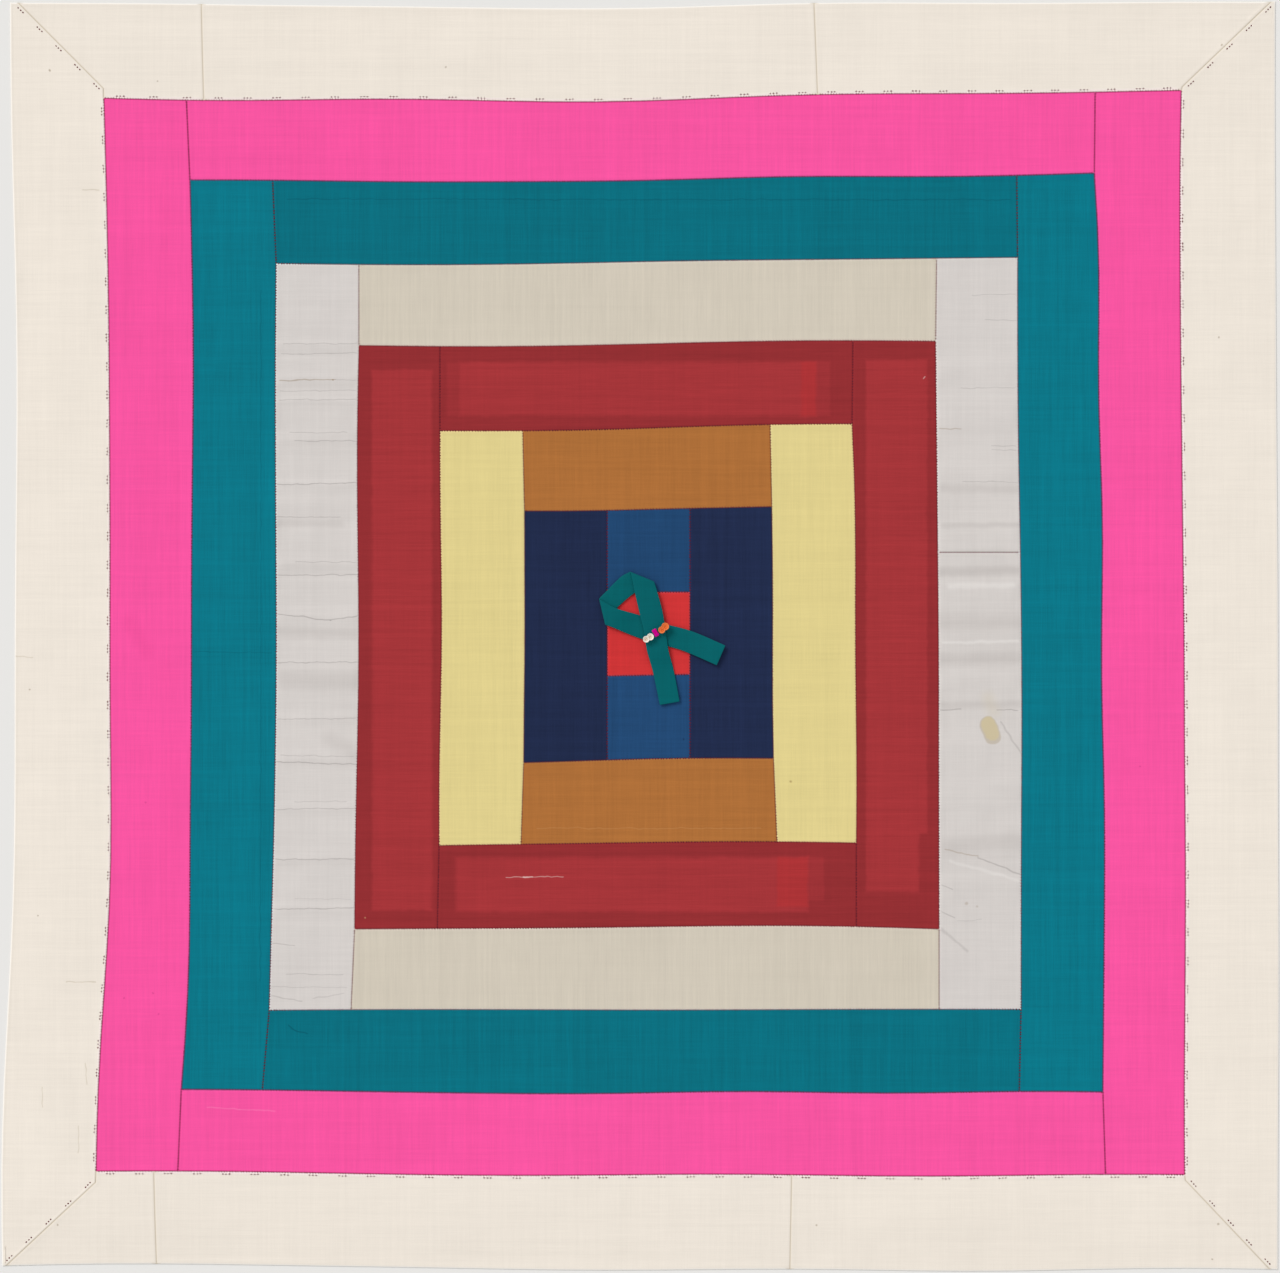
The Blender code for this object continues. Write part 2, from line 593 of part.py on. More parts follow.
def add_knots():
    """The three knots, standing 0.3 mm clear of the tie's upper layer."""
    seat = layer_height(1) + RIBBON_THICK / 2 + GAP
    for name, finish_name, rolls in (("knot_white", "white", WHITE_ROLLS),
                                     ("knot_orange", "orange", ORANGE_ROLLS)):
        add_pair(name, finish_name, [
            (standing_roll(roll.radius), Matrix.Translation((roll.x, roll.y, seat)))
            for roll in rolls])
    lie_down = Matrix.Rotation(math.pi / 2, 4, "X")
    turn = Matrix.Rotation(BOW_TURN, 4, "Z")
    place = Matrix.Translation((*BOW_MIDDLE, seat + BOW_RADIUS))
    add_pair("knot_magenta", "magenta", [
        (lying_roll(), place @ turn @ Matrix.Translation((shift, 0, 0)) @ lie_down)
        for shift in (-BOW_SPREAD, BOW_SPREAD)])


def main():
    for old in list(bpy.data.objects):
        bpy.data.objects.remove(old)
    add_border()
    add_bands()
    add_centre()
    add_tie()
    add_knots()


main()
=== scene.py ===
"""A silk patchwork wrapping cloth laid flat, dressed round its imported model.

Metres, +Z up, with the cloth on z = 0 and its middle at the origin. The tables are in
millimetres, and colours in them are as seen, 0 to 255.
"""
import json
import math
import random
from collections import namedtuple

import bmesh
import bpy
import numpy as np
from bpy.props import FloatProperty, FloatVectorProperty, IntProperty, PointerProperty
from bpy.types import Operator, Panel, PropertyGroup
from mathutils import Matrix, Vector, noise
from mathutils.kdtree import KDTree

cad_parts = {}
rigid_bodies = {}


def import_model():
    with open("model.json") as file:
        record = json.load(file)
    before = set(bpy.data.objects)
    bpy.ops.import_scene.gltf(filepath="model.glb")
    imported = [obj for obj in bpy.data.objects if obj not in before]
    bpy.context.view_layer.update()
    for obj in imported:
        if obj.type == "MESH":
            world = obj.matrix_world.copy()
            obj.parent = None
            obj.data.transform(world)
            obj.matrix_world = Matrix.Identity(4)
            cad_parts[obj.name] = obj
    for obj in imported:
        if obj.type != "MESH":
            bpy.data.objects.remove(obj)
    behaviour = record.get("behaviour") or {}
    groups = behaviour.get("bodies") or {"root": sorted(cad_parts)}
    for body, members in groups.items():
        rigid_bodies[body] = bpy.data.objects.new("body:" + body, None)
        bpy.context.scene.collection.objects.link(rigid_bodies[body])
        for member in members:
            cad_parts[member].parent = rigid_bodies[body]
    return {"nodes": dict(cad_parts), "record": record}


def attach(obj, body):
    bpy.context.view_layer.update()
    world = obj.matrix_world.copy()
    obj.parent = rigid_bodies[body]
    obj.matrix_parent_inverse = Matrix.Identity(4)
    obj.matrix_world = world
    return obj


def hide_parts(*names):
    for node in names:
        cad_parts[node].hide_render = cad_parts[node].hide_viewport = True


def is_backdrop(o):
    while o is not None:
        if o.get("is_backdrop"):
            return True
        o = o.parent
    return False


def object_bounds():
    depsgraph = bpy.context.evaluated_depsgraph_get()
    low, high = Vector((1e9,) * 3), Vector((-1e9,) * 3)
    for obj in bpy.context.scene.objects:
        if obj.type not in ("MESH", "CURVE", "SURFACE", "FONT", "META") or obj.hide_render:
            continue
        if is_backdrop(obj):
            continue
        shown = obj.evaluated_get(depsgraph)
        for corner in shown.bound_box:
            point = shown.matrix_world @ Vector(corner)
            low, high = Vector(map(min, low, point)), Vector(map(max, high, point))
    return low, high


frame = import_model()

bl_info = {
    "name": "Patchwork wrapping cloth",
    "version": (1, 0, 0),
    "blender": (4, 5, 0),
    "location": "View3D > Sidebar > Wrapping cloth",
    "description": "Lays silk, seams, stitches and a ribbon tie over the solids of a pieced wrapping cloth",
    "category": "Object",
}

MM = 0.001
PHOTO_WIDTH = 1280
PHOTO_HEIGHT = 1273

# How the cloth lies: its thickness in the model, and the soft swell that dies out under the tie
CLOTH_TOP = 1.2
LAYER_GAP = 0.3
SWELL = 0.45
SWELL_LENGTH = (149.0, 113.0)
SWELL_START = (17.0, 34.0)
LEVEL_HALF_WIDTH = 85.0
LEVEL_FADE = 60.0
EDGE_EASE = 34.0

# The strips stand apart by this much in the model, and are drawn together here
MODEL_GAP = 0.3
SEAM_SLIT = 0.02
RING_WIDTHS = (0.45, 0.45, 1.0)
CUTS = 8
SHORTEST_CUT = 2.0
SAMPLE_PITCH = 1.0

# Strips of each colour
STRIPS = {
    "cream": ("cream_left", "cream_right", "cream_top_left", "cream_top_middle",
              "cream_top_right", "cream_bottom_left", "cream_bottom_middle",
              "cream_bottom_right"),
    "pink": ("pink_left", "pink_right", "pink_top", "pink_bottom"),
    "teal": ("teal_left", "teal_right", "teal_top", "teal_bottom"),
    "grey": ("grey_left", "grey_right_upper", "grey_right_lower"),
    "beige": ("beige_top", "beige_bottom"),
    "crimson": ("crimson_left", "crimson_right", "crimson_top", "crimson_bottom"),
    "yellow": ("yellow_left", "yellow_right"),
    "ochre": ("ochre_top", "ochre_bottom"),
    "navy": ("navy_left", "navy_right"),
    "blue": ("blue_top", "blue_bottom"),
    "red": ("red_square",),
}
SLOT_OF = {node: slot for slot, nodes in STRIPS.items() for node in nodes}

# Creases across the grey satin: where on Y, how high and how wide each one is
Fold = namedtuple("Fold", "y rise half_width")
GREY_LEFT_FOLDS = (
    Fold(169, 0.30, 3), Fold(162, -0.2, 3), Fold(149, 0.35, 3), Fold(143, -0.2, 2.5),
    Fold(136, 0.35, 2.5), Fold(115, 0.4, 4), Fold(88, 0.4, 3), Fold(66, -0.45, 6),
    Fold(42, 0.4, 3), Fold(35, -0.2, 2.5), Fold(11, 0.45, 4), Fold(-25, 0.5, 9),
    Fold(-48, 0.35, 3), Fold(-71, 0.45, 4), Fold(-100, 0.35, 3), Fold(-129, 0.35, 3),
    Fold(-158, 0.4, 3),
)
GREY_RIGHT_FOLDS = (
    Fold(155, 0.5, 6), Fold(127, 0.6, 9), Fold(96, 0.5, 7), Fold(58, 0.6, 9), Fold(25, 0.5, 7),
    Fold(0, 0.5, 7), Fold(-26, 0.5, 7), Fold(-60, 0.35, 10), Fold(-92, 0.4, 10),
    Fold(-124, 0.5, 5), Fold(-146, 0.45, 8),
)
FOLDS = {"grey_left": GREY_LEFT_FOLDS, "grey_right_upper": GREY_RIGHT_FOLDS,
         "grey_right_lower": GREY_RIGHT_FOLDS}
SEAM_FADE = 3.0
RUMPLE = {"grey": 0.10, "cream": 0.05, "crimson": 0.06}
RUMPLE_PLAIN = 0.04
RUMPLE_LENGTH = 11.0

# What shows of a seam on the silk beside it: a colour that is partly the double-layer turned edge's own
# and partly painted shade in the seam's groove and painted highlight on its ridge, how far it reaches and
# how strongly. The key is the silk's own slot and its neighbour's
SeamTint = namedtuple("SeamTint", "colour reach strength")
SEAM_TINTS = {
    ("cream", "pink"): SeamTint((255, 232, 240), 1.5, 0.8),
    ("cream", "cream"): SeamTint((205, 192, 170), 0.55, 0.9),
    ("cream", None): SeamTint((250, 247, 242), 0.9, 0.8),
    ("pink", "cream"): SeamTint((182, 45, 105), 0.9, 0.9),
    ("pink", "pink"): SeamTint((205, 55, 130), 0.8, 0.6),
    ("pink", "teal"): SeamTint((190, 95, 165), 0.8, 0.6),
    ("teal", "pink"): SeamTint((45, 62, 112), 0.9, 0.8),
    ("teal", "teal"): SeamTint((0, 88, 104), 0.8, 0.7),
    ("teal", "grey"): SeamTint((0, 98, 118), 0.9, 0.6),
    ("teal", "beige"): SeamTint((0, 98, 118), 0.9, 0.6),
    ("grey", "teal"): SeamTint((232, 238, 238), 0.9, 0.7),
    ("grey", "grey"): SeamTint((190, 180, 176), 0.8, 0.5),
    ("grey", "crimson"): SeamTint((238, 226, 222), 1.1, 0.7),
    ("grey", "beige"): SeamTint((222, 216, 210), 0.8, 0.4),
    ("beige", "teal"): SeamTint((228, 232, 226), 0.9, 0.7),
    ("beige", "grey"): SeamTint((218, 208, 192), 0.8, 0.4),
    ("beige", "crimson"): SeamTint((232, 208, 198), 1.1, 0.7),
    ("crimson", "grey"): SeamTint((138, 36, 42), 0.9, 0.6),
    ("crimson", "beige"): SeamTint((138, 36, 42), 0.9, 0.6),
    ("crimson", "yellow"): SeamTint((140, 36, 40), 0.9, 0.6),
    ("crimson", "ochre"): SeamTint((140, 38, 44), 0.9, 0.5),
    ("crimson", "crimson"): SeamTint((140, 42, 46), 0.9, 0.5),
    ("yellow", "crimson"): SeamTint((240, 205, 150), 1.1, 0.7),
    ("yellow", "ochre"): SeamTint((236, 224, 165), 0.9, 0.6),
    ("yellow", "navy"): SeamTint((236, 226, 172), 0.9, 0.6),
    ("ochre", "crimson"): SeamTint((160, 90, 60), 0.8, 0.4),
    ("ochre", "yellow"): SeamTint((160, 96, 44), 0.8, 0.5),
    ("ochre", "navy"): SeamTint((168, 122, 82), 0.8, 0.6),
    ("ochre", "blue"): SeamTint((168, 122, 82), 0.8, 0.6),
    ("navy", "blue"): SeamTint((42, 38, 84), 0.8, 0.6),
    ("navy", "red"): SeamTint((38, 28, 62), 0.8, 0.6),
    ("blue", "red"): SeamTint((70, 66, 108), 0.8, 0.6),
    ("blue", "navy"): SeamTint((40, 62, 106), 0.8, 0.5),
    ("red", "blue"): SeamTint((188, 78, 92), 0.9, 0.7),
    ("red", "navy"): SeamTint((184, 74, 86), 0.9, 0.7),
}
# The tint for pairs not listed: a dark painted seam shade
SEAM_TINT_PLAIN = SeamTint((30, 34, 60), 0.7, 0.3)

# Seams whose thread is the silk's own colour, so that no stitch shows on them
HIDDEN_SEAMS = {("cream", "cream")}

# Grain of each silk: streaks along the warp and the weft, broad unevenness, ribs across the
# cloth, how rough and how satiny it is
Grain = namedtuple("Grain", "warp weft mottle rib roughness sheen specular")
GRAINS = {
    "cream": Grain(0.078, 0.091, 0.072, 0.03, 0.75, 0.02, 0.05),
    "pink": Grain(0.156, 0.117, 0.096, 0.015, 0.65, 0.02, 0.05),
    "teal": Grain(0.338, 0.208, 0.16, 0.03, 0.65, 0.02, 0.05),
    "grey": Grain(0.104, 0.104, 0.08, 0.022, 0.42, 0.02, 0.22),
    "beige": Grain(0.156, 0.052, 0.08, 0.022, 0.65, 0.02, 0.05),
    "crimson": Grain(0.13, 0.286, 0.112, 0.015, 0.7, 0.02, 0.05),
    "yellow": Grain(0.13, 0.104, 0.064, 0.03, 0.65, 0.02, 0.05),
    "ochre": Grain(0.208, 0.208, 0.128, 0.03, 0.65, 0.02, 0.05),
    "navy": Grain(0.416, 0.312, 0.16, 0.03, 0.7, 0.02, 0.05),
    "blue": Grain(0.338, 0.26, 0.16, 0.03, 0.7, 0.02, 0.05),
    "red": Grain(0.156, 0.182, 0.08, 0.03, 0.7, 0.02, 0.05),
    "ribbon": Grain(0.156, 0.156, 0.096, 0.03, 0.6, 0.02, 0.05),
    "white": Grain(0.078, 0.078, 0.08, 0.0, 0.6, 0.02, 0.05),
    "magenta": Grain(0.208, 0.208, 0.16, 0.0, 0.5, 0.02, 0.05),
    "orange": Grain(0.156, 0.156, 0.128, 0.0, 0.55, 0.02, 0.05),
    "thread": Grain(0.26, 0.26, 0.32, 0.0, 0.6, 0.02, 0.05),
}

# Strips that are a little lighter or darker than their slot's colour
TONES = {
    "cream_left": 1.01, "cream_right": 1.01, "teal_left": 1.03, "teal_right": 1.03,
    "teal_top": 0.88, "teal_bottom": 0.91, "grey_right_lower": 0.99, "beige_bottom": 0.99,
    "navy_left": 0.95, "blue_top": 0.92,
    "crimson_left": 0.82, "crimson_right": 0.82, "crimson_top": 0.82, "crimson_bottom": 0.82,
}

# Marks on the silk, each from one point to another: creases and broad bands, most of them painted shade of
# folds and billows and some painted highlight, and streaks, specks and stains that the silk has
Mark = namedtuple("Mark", "x0 y0 x1 y1 half_width soft colour strength")


def crease(x0, y0, x1, y1, half_width=0.4, strength=0.3, colour=(120, 112, 110)):
    """A thin line along a fold. In its default dark colour and in the cream and teal crease colours it is
    painted shade in the fold, with a little dust; other colours draw slubs and marks that the silk has.
    """
    return Mark(x0, y0, x1, y1, half_width, 0.9, colour, strength)


def band(x0, y0, x1, y1, half_width, strength, colour=(150, 142, 138)):
    """A broad soft band across the silk: in its default colour painted shade, in a light colour painted
    highlight, and in other colours a stain or tone of the silk.
    """
    return Mark(x0, y0, x1, y1, half_width, 1.0, colour, strength)


def speck(x, y, size, colour, strength=0.6):
    """A small spot."""
    return Mark(x, y, x + 0.01, y, size, 0.7, colour, strength)


# The cream and teal crease colours are painted shade in the folds, with a little dust
CREAM_CREASE_SHADE = (190, 176, 152)
CREAM_SPECK = (165, 150, 128)
PINK_SPECK = (190, 45, 110)
TEAL_CREASE_SHADE = (0, 70, 86)
SLUB = (225, 190, 185)
BROWN = (150, 128, 100)
STAIN = (205, 190, 150)
STAIN_RIM = (170, 152, 118)
# A painted highlight along the ridges of the grey satin's folds and billows
PAINTED_HIGHLIGHT = (240, 236, 232)
MARKS = {
    "cream_left": (
        crease(-332.9, -200.7, -315.5, -200.7, 0.5, 0.5, CREAM_CREASE_SHADE),
        crease(-323.0, 258.7, -313.5, 258.7, 0.5, 0.5, CREAM_CREASE_SHADE),
        crease(-321.3, -247.7, -321.0, -259.8, 0.5, 0.4, CREAM_CREASE_SHADE),
        crease(-346.6, -261.6, -346.4, -273.2, 0.5, 0.4, CREAM_CREASE_SHADE),
        crease(-325.5, -284.2, -325.8, -299.3, 0.5, 0.4, CREAM_CREASE_SHADE),
        crease(-370.0, -11.5, -352.0, -12.2, 0.5, 0.4, CREAM_CREASE_SHADE),
        speck(-342.4, 328.3, 0.9, CREAM_SPECK, 0.7), speck(-349.2, -161.8, 0.8, CREAM_SPECK),
        speck(-354.0, -31.5, 0.8, CREAM_SPECK),
    ),
    "cream_right": (speck(335.8, 173.4, 0.9, CREAM_SPECK),),
    "cream_top_left": (speck(-279.8, 321.5, 0.8, CREAM_SPECK),),
    "cream_top_middle": (speck(-112.5, 330.0, 0.9, CREAM_SPECK),),
    "cream_top_right": (speck(337.6, 342.9, 0.9, CREAM_SPECK),),
    "cream_bottom_left": (speck(-337.9, -341.3, 0.9, CREAM_SPECK),),
    "cream_bottom_right": (
        speck(335.2, -340.9, 0.9, CREAM_SPECK), speck(332.1, -361.2, 0.8, CREAM_SPECK),
        speck(102.7, -341.6, 0.9, CREAM_SPECK),
    ),
    "pink_left": (
        speck(-282.5, -207.1, 0.9, PINK_SPECK, 0.4), speck(-279.0, -219.2, 0.8, PINK_SPECK, 0.4),
        speck(-299.3, -210.0, 0.8, PINK_SPECK, 0.4), speck(-286.5, -96.9, 0.8, PINK_SPECK, 0.4),
        band(-296.0, 8.0, -286.0, -8.0, 8.0, 0.10, PINK_SPECK),
    ),
    "pink_right": (speck(290.0, -75.4, 0.8, PINK_SPECK, 0.4),),
    "pink_bottom": (
        crease(-251.0, -273.2, -232.0, -274.6, 0.6, 0.25, (255, 150, 200)),
        crease(-232.0, -274.6, -211.7, -275.5, 0.6, 0.25, (255, 150, 200)),
    ),
    "teal_top": (crease(-205.0, 253.4, 215.0, 253.0, 0.5, 0.35, TEAL_CREASE_SHADE),),
    "teal_left": (
        crease(-219.8, 200.0, -220.2, -200.0, 0.5, 0.25, TEAL_CREASE_SHADE),
        crease(-262.0, -9.0, -214.0, -9.6, 0.5, 0.25, TEAL_CREASE_SHADE),
    ),
    "teal_bottom": (
        crease(-204.0, -225.6, -200.0, -229.0, 0.5, 0.6, TEAL_CREASE_SHADE),
        crease(-200.0, -229.0, -192.6, -230.8, 0.5, 0.6, TEAL_CREASE_SHADE),
    ),
    "yellow_right": (speck(87.6, -84.1, 0.9, (150, 120, 70), 0.6),),
    "blue_bottom": (speck(24.9, -59.7, 0.8, (20, 40, 70), 0.6),),
    "ochre_bottom": (crease(-60.0, -111.4, 70.0, -111.6, 0.5, 0.25, (205, 150, 95)),),
    "crimson_bottom": (
        crease(-77.7, -139.9, -65.5, -139.7, 0.45, 0.45, SLUB),
        crease(-68.0, -139.7, -62.5, -139.7, 0.6, 0.75, SLUB),
        crease(-62.5, -139.7, -44.1, -139.8, 0.45, 0.4, SLUB),
    ),
    "crimson_right": (crease(164.2, 149.2, 165.4, 150.2, 0.4, 0.6, SLUB),),
    "crimson_left": (speck(-159.7, -163.3, 0.7, (205, 160, 120), 0.5),),
    # On the grey satin the creases and bands in their default dark colours are painted shade of its folds
    # and billows
    "grey_left": (
        crease(-206.5, 169.4, -163.6, 169.6, 0.4, 0.30), crease(-208.0, 163.6, -163.5, 163.9),
        crease(-208.8, 148.2, -176.9, 148.9, 0.55, 0.55, BROWN),
        speck(-178.1, 148.6, 0.8, BROWN, 0.8), crease(-176.9, 148.8, -164.7, 148.3, 0.4, 0.3),
        crease(-209.0, 142.1, -164.0, 142.3, 0.4, 0.25),
        crease(-209.0, 136.9, -164.0, 137.2, 0.4, 0.3),
        crease(-203.0, 118.0, -169.9, 118.0, 0.4, 0.3),
        crease(-200.0, 113.1, -164.7, 113.2, 0.4, 0.35),
        crease(-211.0, 87.6, -163.2, 89.1, 0.45, 0.42),
        crease(-210.5, 69.0, -174.0, 69.0, 0.4, 0.3),
        crease(-199.5, 42.9, -164.7, 42.9, 0.4, 0.3), crease(-211.0, 35.4, -163.5, 35.6, 0.45, 0.4),
        crease(-211.0, 12.5, -193.1, 11.0, 0.5, 0.4), crease(-193.1, 11.0, -179.5, 9.0, 0.5, 0.45),
        crease(-179.5, 9.0, -164.0, 11.5, 0.5, 0.4),
        band(-211.0, 2.0, -164.0, 1.0, 5.5, 0.17), crease(-211.0, -15.5, -163.5, -15.3, 0.45, 0.4),
        band(-211.0, -24.0, -164.0, -26.0, 10.0, 0.2),
        crease(-211.0, -48.3, -165.0, -47.9, 0.4, 0.35),
        crease(-208.0, -69.2, -166.0, -69.8, 0.4, 0.25),
        crease(-211.0, -72.9, -190.0, -73.6, 0.5, 0.45),
        crease(-190.0, -73.6, -165.0, -74.2, 0.5, 0.4),
        crease(-200.0, -96.0, -170.0, -96.2, 0.4, 0.25),
        crease(-211.0, -100.5, -165.0, -100.0, 0.4, 0.35),
        crease(-211.5, -129.6, -165.5, -129.4, 0.45, 0.4),
        crease(-200.0, -152.0, -168.0, -152.5, 0.4, 0.18),
        crease(-212.5, -158.3, -166.0, -158.0, 0.45, 0.4),
        crease(-214.5, -178.1, -200.0, -179.5, 0.4, 0.35),
        crease(-205.0, -196.0, -172.0, -196.4, 0.4, 0.28),
        crease(-214.0, -203.6, -170.0, -204.0, 0.4, 0.22),
        crease(-214.0, -208.5, -196.0, -212.0, 0.5, 0.28),
        crease(-190.0, -210.0, -172.0, -207.5, 0.5, 0.22),
        band(-211.0, 65.0, -174.0, 65.0, 4.0, 0.15), band(-180.0, -60.0, -165.0, -68.0, 8.0, 0.14),
    ),
    # On the right grey strips the bands and creases in their default dark colours are painted shade of the
    # billows and folds, and the light bands are painted highlight; the stain marks are the silk's own
    "grey_right_upper": (
        crease(192.6, 197.8, 218.0, 198.2, 0.4, 0.25), crease(200.0, 183.3, 219.0, 183.0, 0.4, 0.25),
        crease(186.2, 143.8, 218.0, 144.0, 0.4, 0.25),
        crease(173.4, 120.4, 186.2, 120.0, 0.5, 0.4, BROWN),
        crease(204.2, 110.3, 218.1, 110.0, 0.4, 0.25), crease(204.2, 108.0, 218.1, 107.8, 0.4, 0.25),
        crease(187.3, 89.5, 219.2, 89.2, 0.4, 0.3), band(176.0, 85.5, 219.0, 85.0, 4.5, 0.2),
        band(176.0, 64.0, 219.0, 64.5, 3.0, 0.2),
    ),
    "grey_right_lower": (
        band(175.0, 37.0, 219.0, 38.0, 5.0, 0.26), band(176.0, 7.0, 219.0, 8.0, 9.0, 0.20),
        band(176.0, -13.5, 219.0, -13.0, 6.5, 0.22), band(176.0, -40.5, 219.0, -39.5, 4.0, 0.18),
        band(176.0, -3.8, 219.0, -3.2, 1.6, 0.35, PAINTED_HIGHLIGHT), band(180.0, 29.0, 216.0, 29.5, 3.0, 0.3, PAINTED_HIGHLIGHT),
        crease(173.8, -43.2, 186.0, -42.0, 0.5, 0.4), crease(207.0, -42.5, 219.0, -43.0, 0.5, 0.4),
        crease(209.0, -50.0, 221.0, -68.0, 0.9, 0.25), band(176.0, -122.0, 219.0, -119.0, 8.0, 0.2),
        crease(177.0, -124.0, 196.0, -127.5, 0.6, 0.4, BROWN),
        crease(196.0, -128.5, 220.5, -138.0, 0.7, 0.35),
        band(180.0, -130.5, 219.0, -141.5, 1.6, 0.25, PAINTED_HIGHLIGHT),
        crease(175.0, -144.0, 181.0, -147.0, 0.5, 0.35), crease(175.0, -160.0, 182.5, -163.5, 0.5, 0.3),
        crease(184.0, -165.2, 197.8, -164.4, 0.4, 0.2), crease(175.0, -170.0, 190.0, -183.0, 1.4, 0.2),
        speck(189.0, -155.2, 1.3, BROWN, 0.35), speck(195.5, -157.0, 1.0, BROWN, 0.3),
        band(202.0, -36.0, 205.0, -44.0, 7.0, 0.18, STAIN),
        Mark(201.8, -51.5, 204.6, -58.0, 5.4, 0.22, STAIN_RIM, 0.45),
        Mark(202.0, -51.0, 204.2, -56.6, 4.7, 0.3, STAIN, 0.75),
    ),
}

# Where the sheer crimson is one layer and so looks lighter: left, right, bottom and top of each
# patch, how soft its edge is, its colour and how strongly it shows
Patch = namedtuple("Patch", "left right low high soft colour strength")
ONE_LAYER = (165, 52, 56)
BRIGHT_LAYER = (176, 48, 50)
PATCHES = {
    "crimson_left": (Patch(-155.4, -120.6, -158.9, 154.3, 1.2, ONE_LAYER, 0.95),),
    "crimson_right": (Patch(131.1, 161.8, -148.5, 160.1, 1.2, ONE_LAYER, 0.95),
                      Patch(161.0, 166.5, -114.3, 160.1, 1.0, ONE_LAYER, 0.95)),
    "crimson_top": (Patch(-105.0, 102.1, 127.6, 158.9, 1.6, ONE_LAYER, 0.95),
                    Patch(-111.9, -105.4, 127.6, 158.9, 1.2, ONE_LAYER, 0.45),
                    Patch(93.4, 102.1, 127.6, 158.9, 1.2, BRIGHT_LAYER, 0.6),
                    Patch(102.3, 110.2, 127.6, 158.9, 1.0, ONE_LAYER, 0.5)),
    "crimson_bottom": (Patch(-106.7, 97.4, -160.0, -128.4, 1.6, ONE_LAYER, 0.95),
                       Patch(79.5, 97.4, -157.0, -128.4, 1.2, BRIGHT_LAYER, 0.6),
                       Patch(97.4, 106.7, -153.5, -128.4, 1.0, ONE_LAYER, 0.5)),
}

# The tie: one ribbon, laid from its right tail round two folds to its lower tail. Each row is
# a cross line of it: its two edge points, the layer that it lies in and how far a tail lifts
RIBBON_STEPS = 10
FOLD_STEPS = 10
RIBBON_COLUMNS = 8
MODEL_RIBBON = 1.2
Rung = namedtuple("Rung", "edge_a edge_b layer lift")
RIGHT_TAIL = (
    Rung((49.5, -5.5), (44.5, -17.0), 0, 1.5),
    Rung((29.5, 3.0), (24.5, -8.5), 0, 0.2),
    Rung((10.5, 8.0), (6.5, -3.5), 0, 0.0),
    Rung((0.0, 12.0), (-4.0, 0.0), 0, 0.0),
    Rung((-13.5, 16.0), (-16.0, 5.0), 1, 0.0),
    Rung((-24.0, 21.5), (-20.5, 6.5), 1, 0.0),
)
LOOP_BACK = (
    Rung((-24.0, 21.5), (-20.5, 6.5), 0, 0.0),
    Rung((-19.5, 26.0), (-13.0, 16.5), 0, 0.0),
    Rung((-11.5, 34.0), (-3.0, 25.0), 0, 0.0),
    Rung((-5.5, 37.5), (8.0, 32.0), 0, 0.0),
)
LOWER_TAIL = (
    Rung((-5.5, 37.5), (8.0, 32.0), 1, 0.0),
    Rung((-3.0, 25.0), (9.5, 27.5), 1, 0.0),
    Rung((0.0, 12.0), (12.8, 15.5), 1, 0.0),
    Rung((2.5, 1.5), (14.8, 4.0), 1, 0.0),
    Rung((4.0, -8.5), (16.5, -8.0), 1, 0.0),
    Rung((7.5, -21.0), (19.5, -19.5), 0, 0.0),
    Rung((11.5, -40.0), (23.0, -38.0), 0, 0.7),
)

# The knots: two pairs of rolls that stand on end, and between them a pair that lies down
Roll = namedtuple("Roll", "x y radius")
WHITE_ROLLS = (Roll(3.6, -1.9, 1.95), Roll(6.0, -0.5, 2.1))
ORANGE_ROLLS = (Roll(12.6, 3.5, 2.05), Roll(14.6, 5.5, 2.25))
ROLL_HEIGHT = 2.8
ROLL_SIDES = 28
BOW_MIDDLE = (9.0, 1.9)
BOW_TURN = math.radians(32.0)
BOW_LENGTH = 4.7
BOW_RADIUS = 0.95
BOW_SPREAD = 0.58


def slot_colour(slot):
    """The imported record's colour for a slot, as the linear values that a shader takes."""
    rows = {row["slot"]: row["base_color"] for row in frame["record"]["materials"]}
    return tuple(rows[slot][:3])


def linear(colour):
    """A colour as seen, 0 to 255, turned into the linear values that a shader takes."""
    shares = [value / 255.0 for value in colour]
    return tuple(share / 12.92 if share <= 0.04045 else ((share + 0.055) / 1.055) ** 2.4
                 for share in shares)


def colour_property(label, slot):
    """A colour that the panel shows, with the record's colour to start with."""
    return FloatVectorProperty(name=label, description=f"Colour of the {label.lower()}",
                               subtype="COLOR", size=3, min=0.0, max=1.0,
                               default=slot_colour(slot))


def length_property(label, description, millimetres):
    """A length that the panel shows."""
    return FloatProperty(name=label, description=description, default=millimetres * MM,
                         min=0.0, precision=5, subtype="DISTANCE", unit="LENGTH")


class SilkColours(PropertyGroup):
    """The colours that the cloth was dyed"""
    cream: colour_property("Cream border", "cream")
    pink: colour_property("Pink strips", "pink")
    teal: colour_property("Teal strips", "teal")
    grey: colour_property("Grey satin strips", "grey")
    beige: colour_property("Beige strips", "beige")
    crimson: colour_property("Sheer crimson strips", "crimson")
    yellow: colour_property("Yellow strips", "yellow")
    ochre: colour_property("Ochre strips", "ochre")
    navy: colour_property("Navy strips", "navy")
    blue: colour_property("Blue patches", "blue")
    red: colour_property("Red square", "red")
    ribbon: colour_property("Ribbon", "ribbon")
    white: colour_property("White knot", "white")
    magenta: colour_property("Magenta knot", "magenta")
    orange: colour_property("Orange knot", "orange")
    thread: colour_property("Sewing thread", "thread")


class ClothSettings(PropertyGroup):
    """How thick the silk is and how its seams and edges stand"""
    silk_thickness: length_property("Silk", "Thickness of the silk", 0.5)
    seam_groove: length_property("Groove", "How deep the join of two strips lies", 0.16)
    seam_ridge: length_property("Ridge", "How high the turned edge stands beside a seam", 0.14)
    edge_height: length_property("Edge", "Height of the cloth's outer edge", 0.6)
    weave: length_property("Weave", "Distance between two threads of the weave", 0.42)


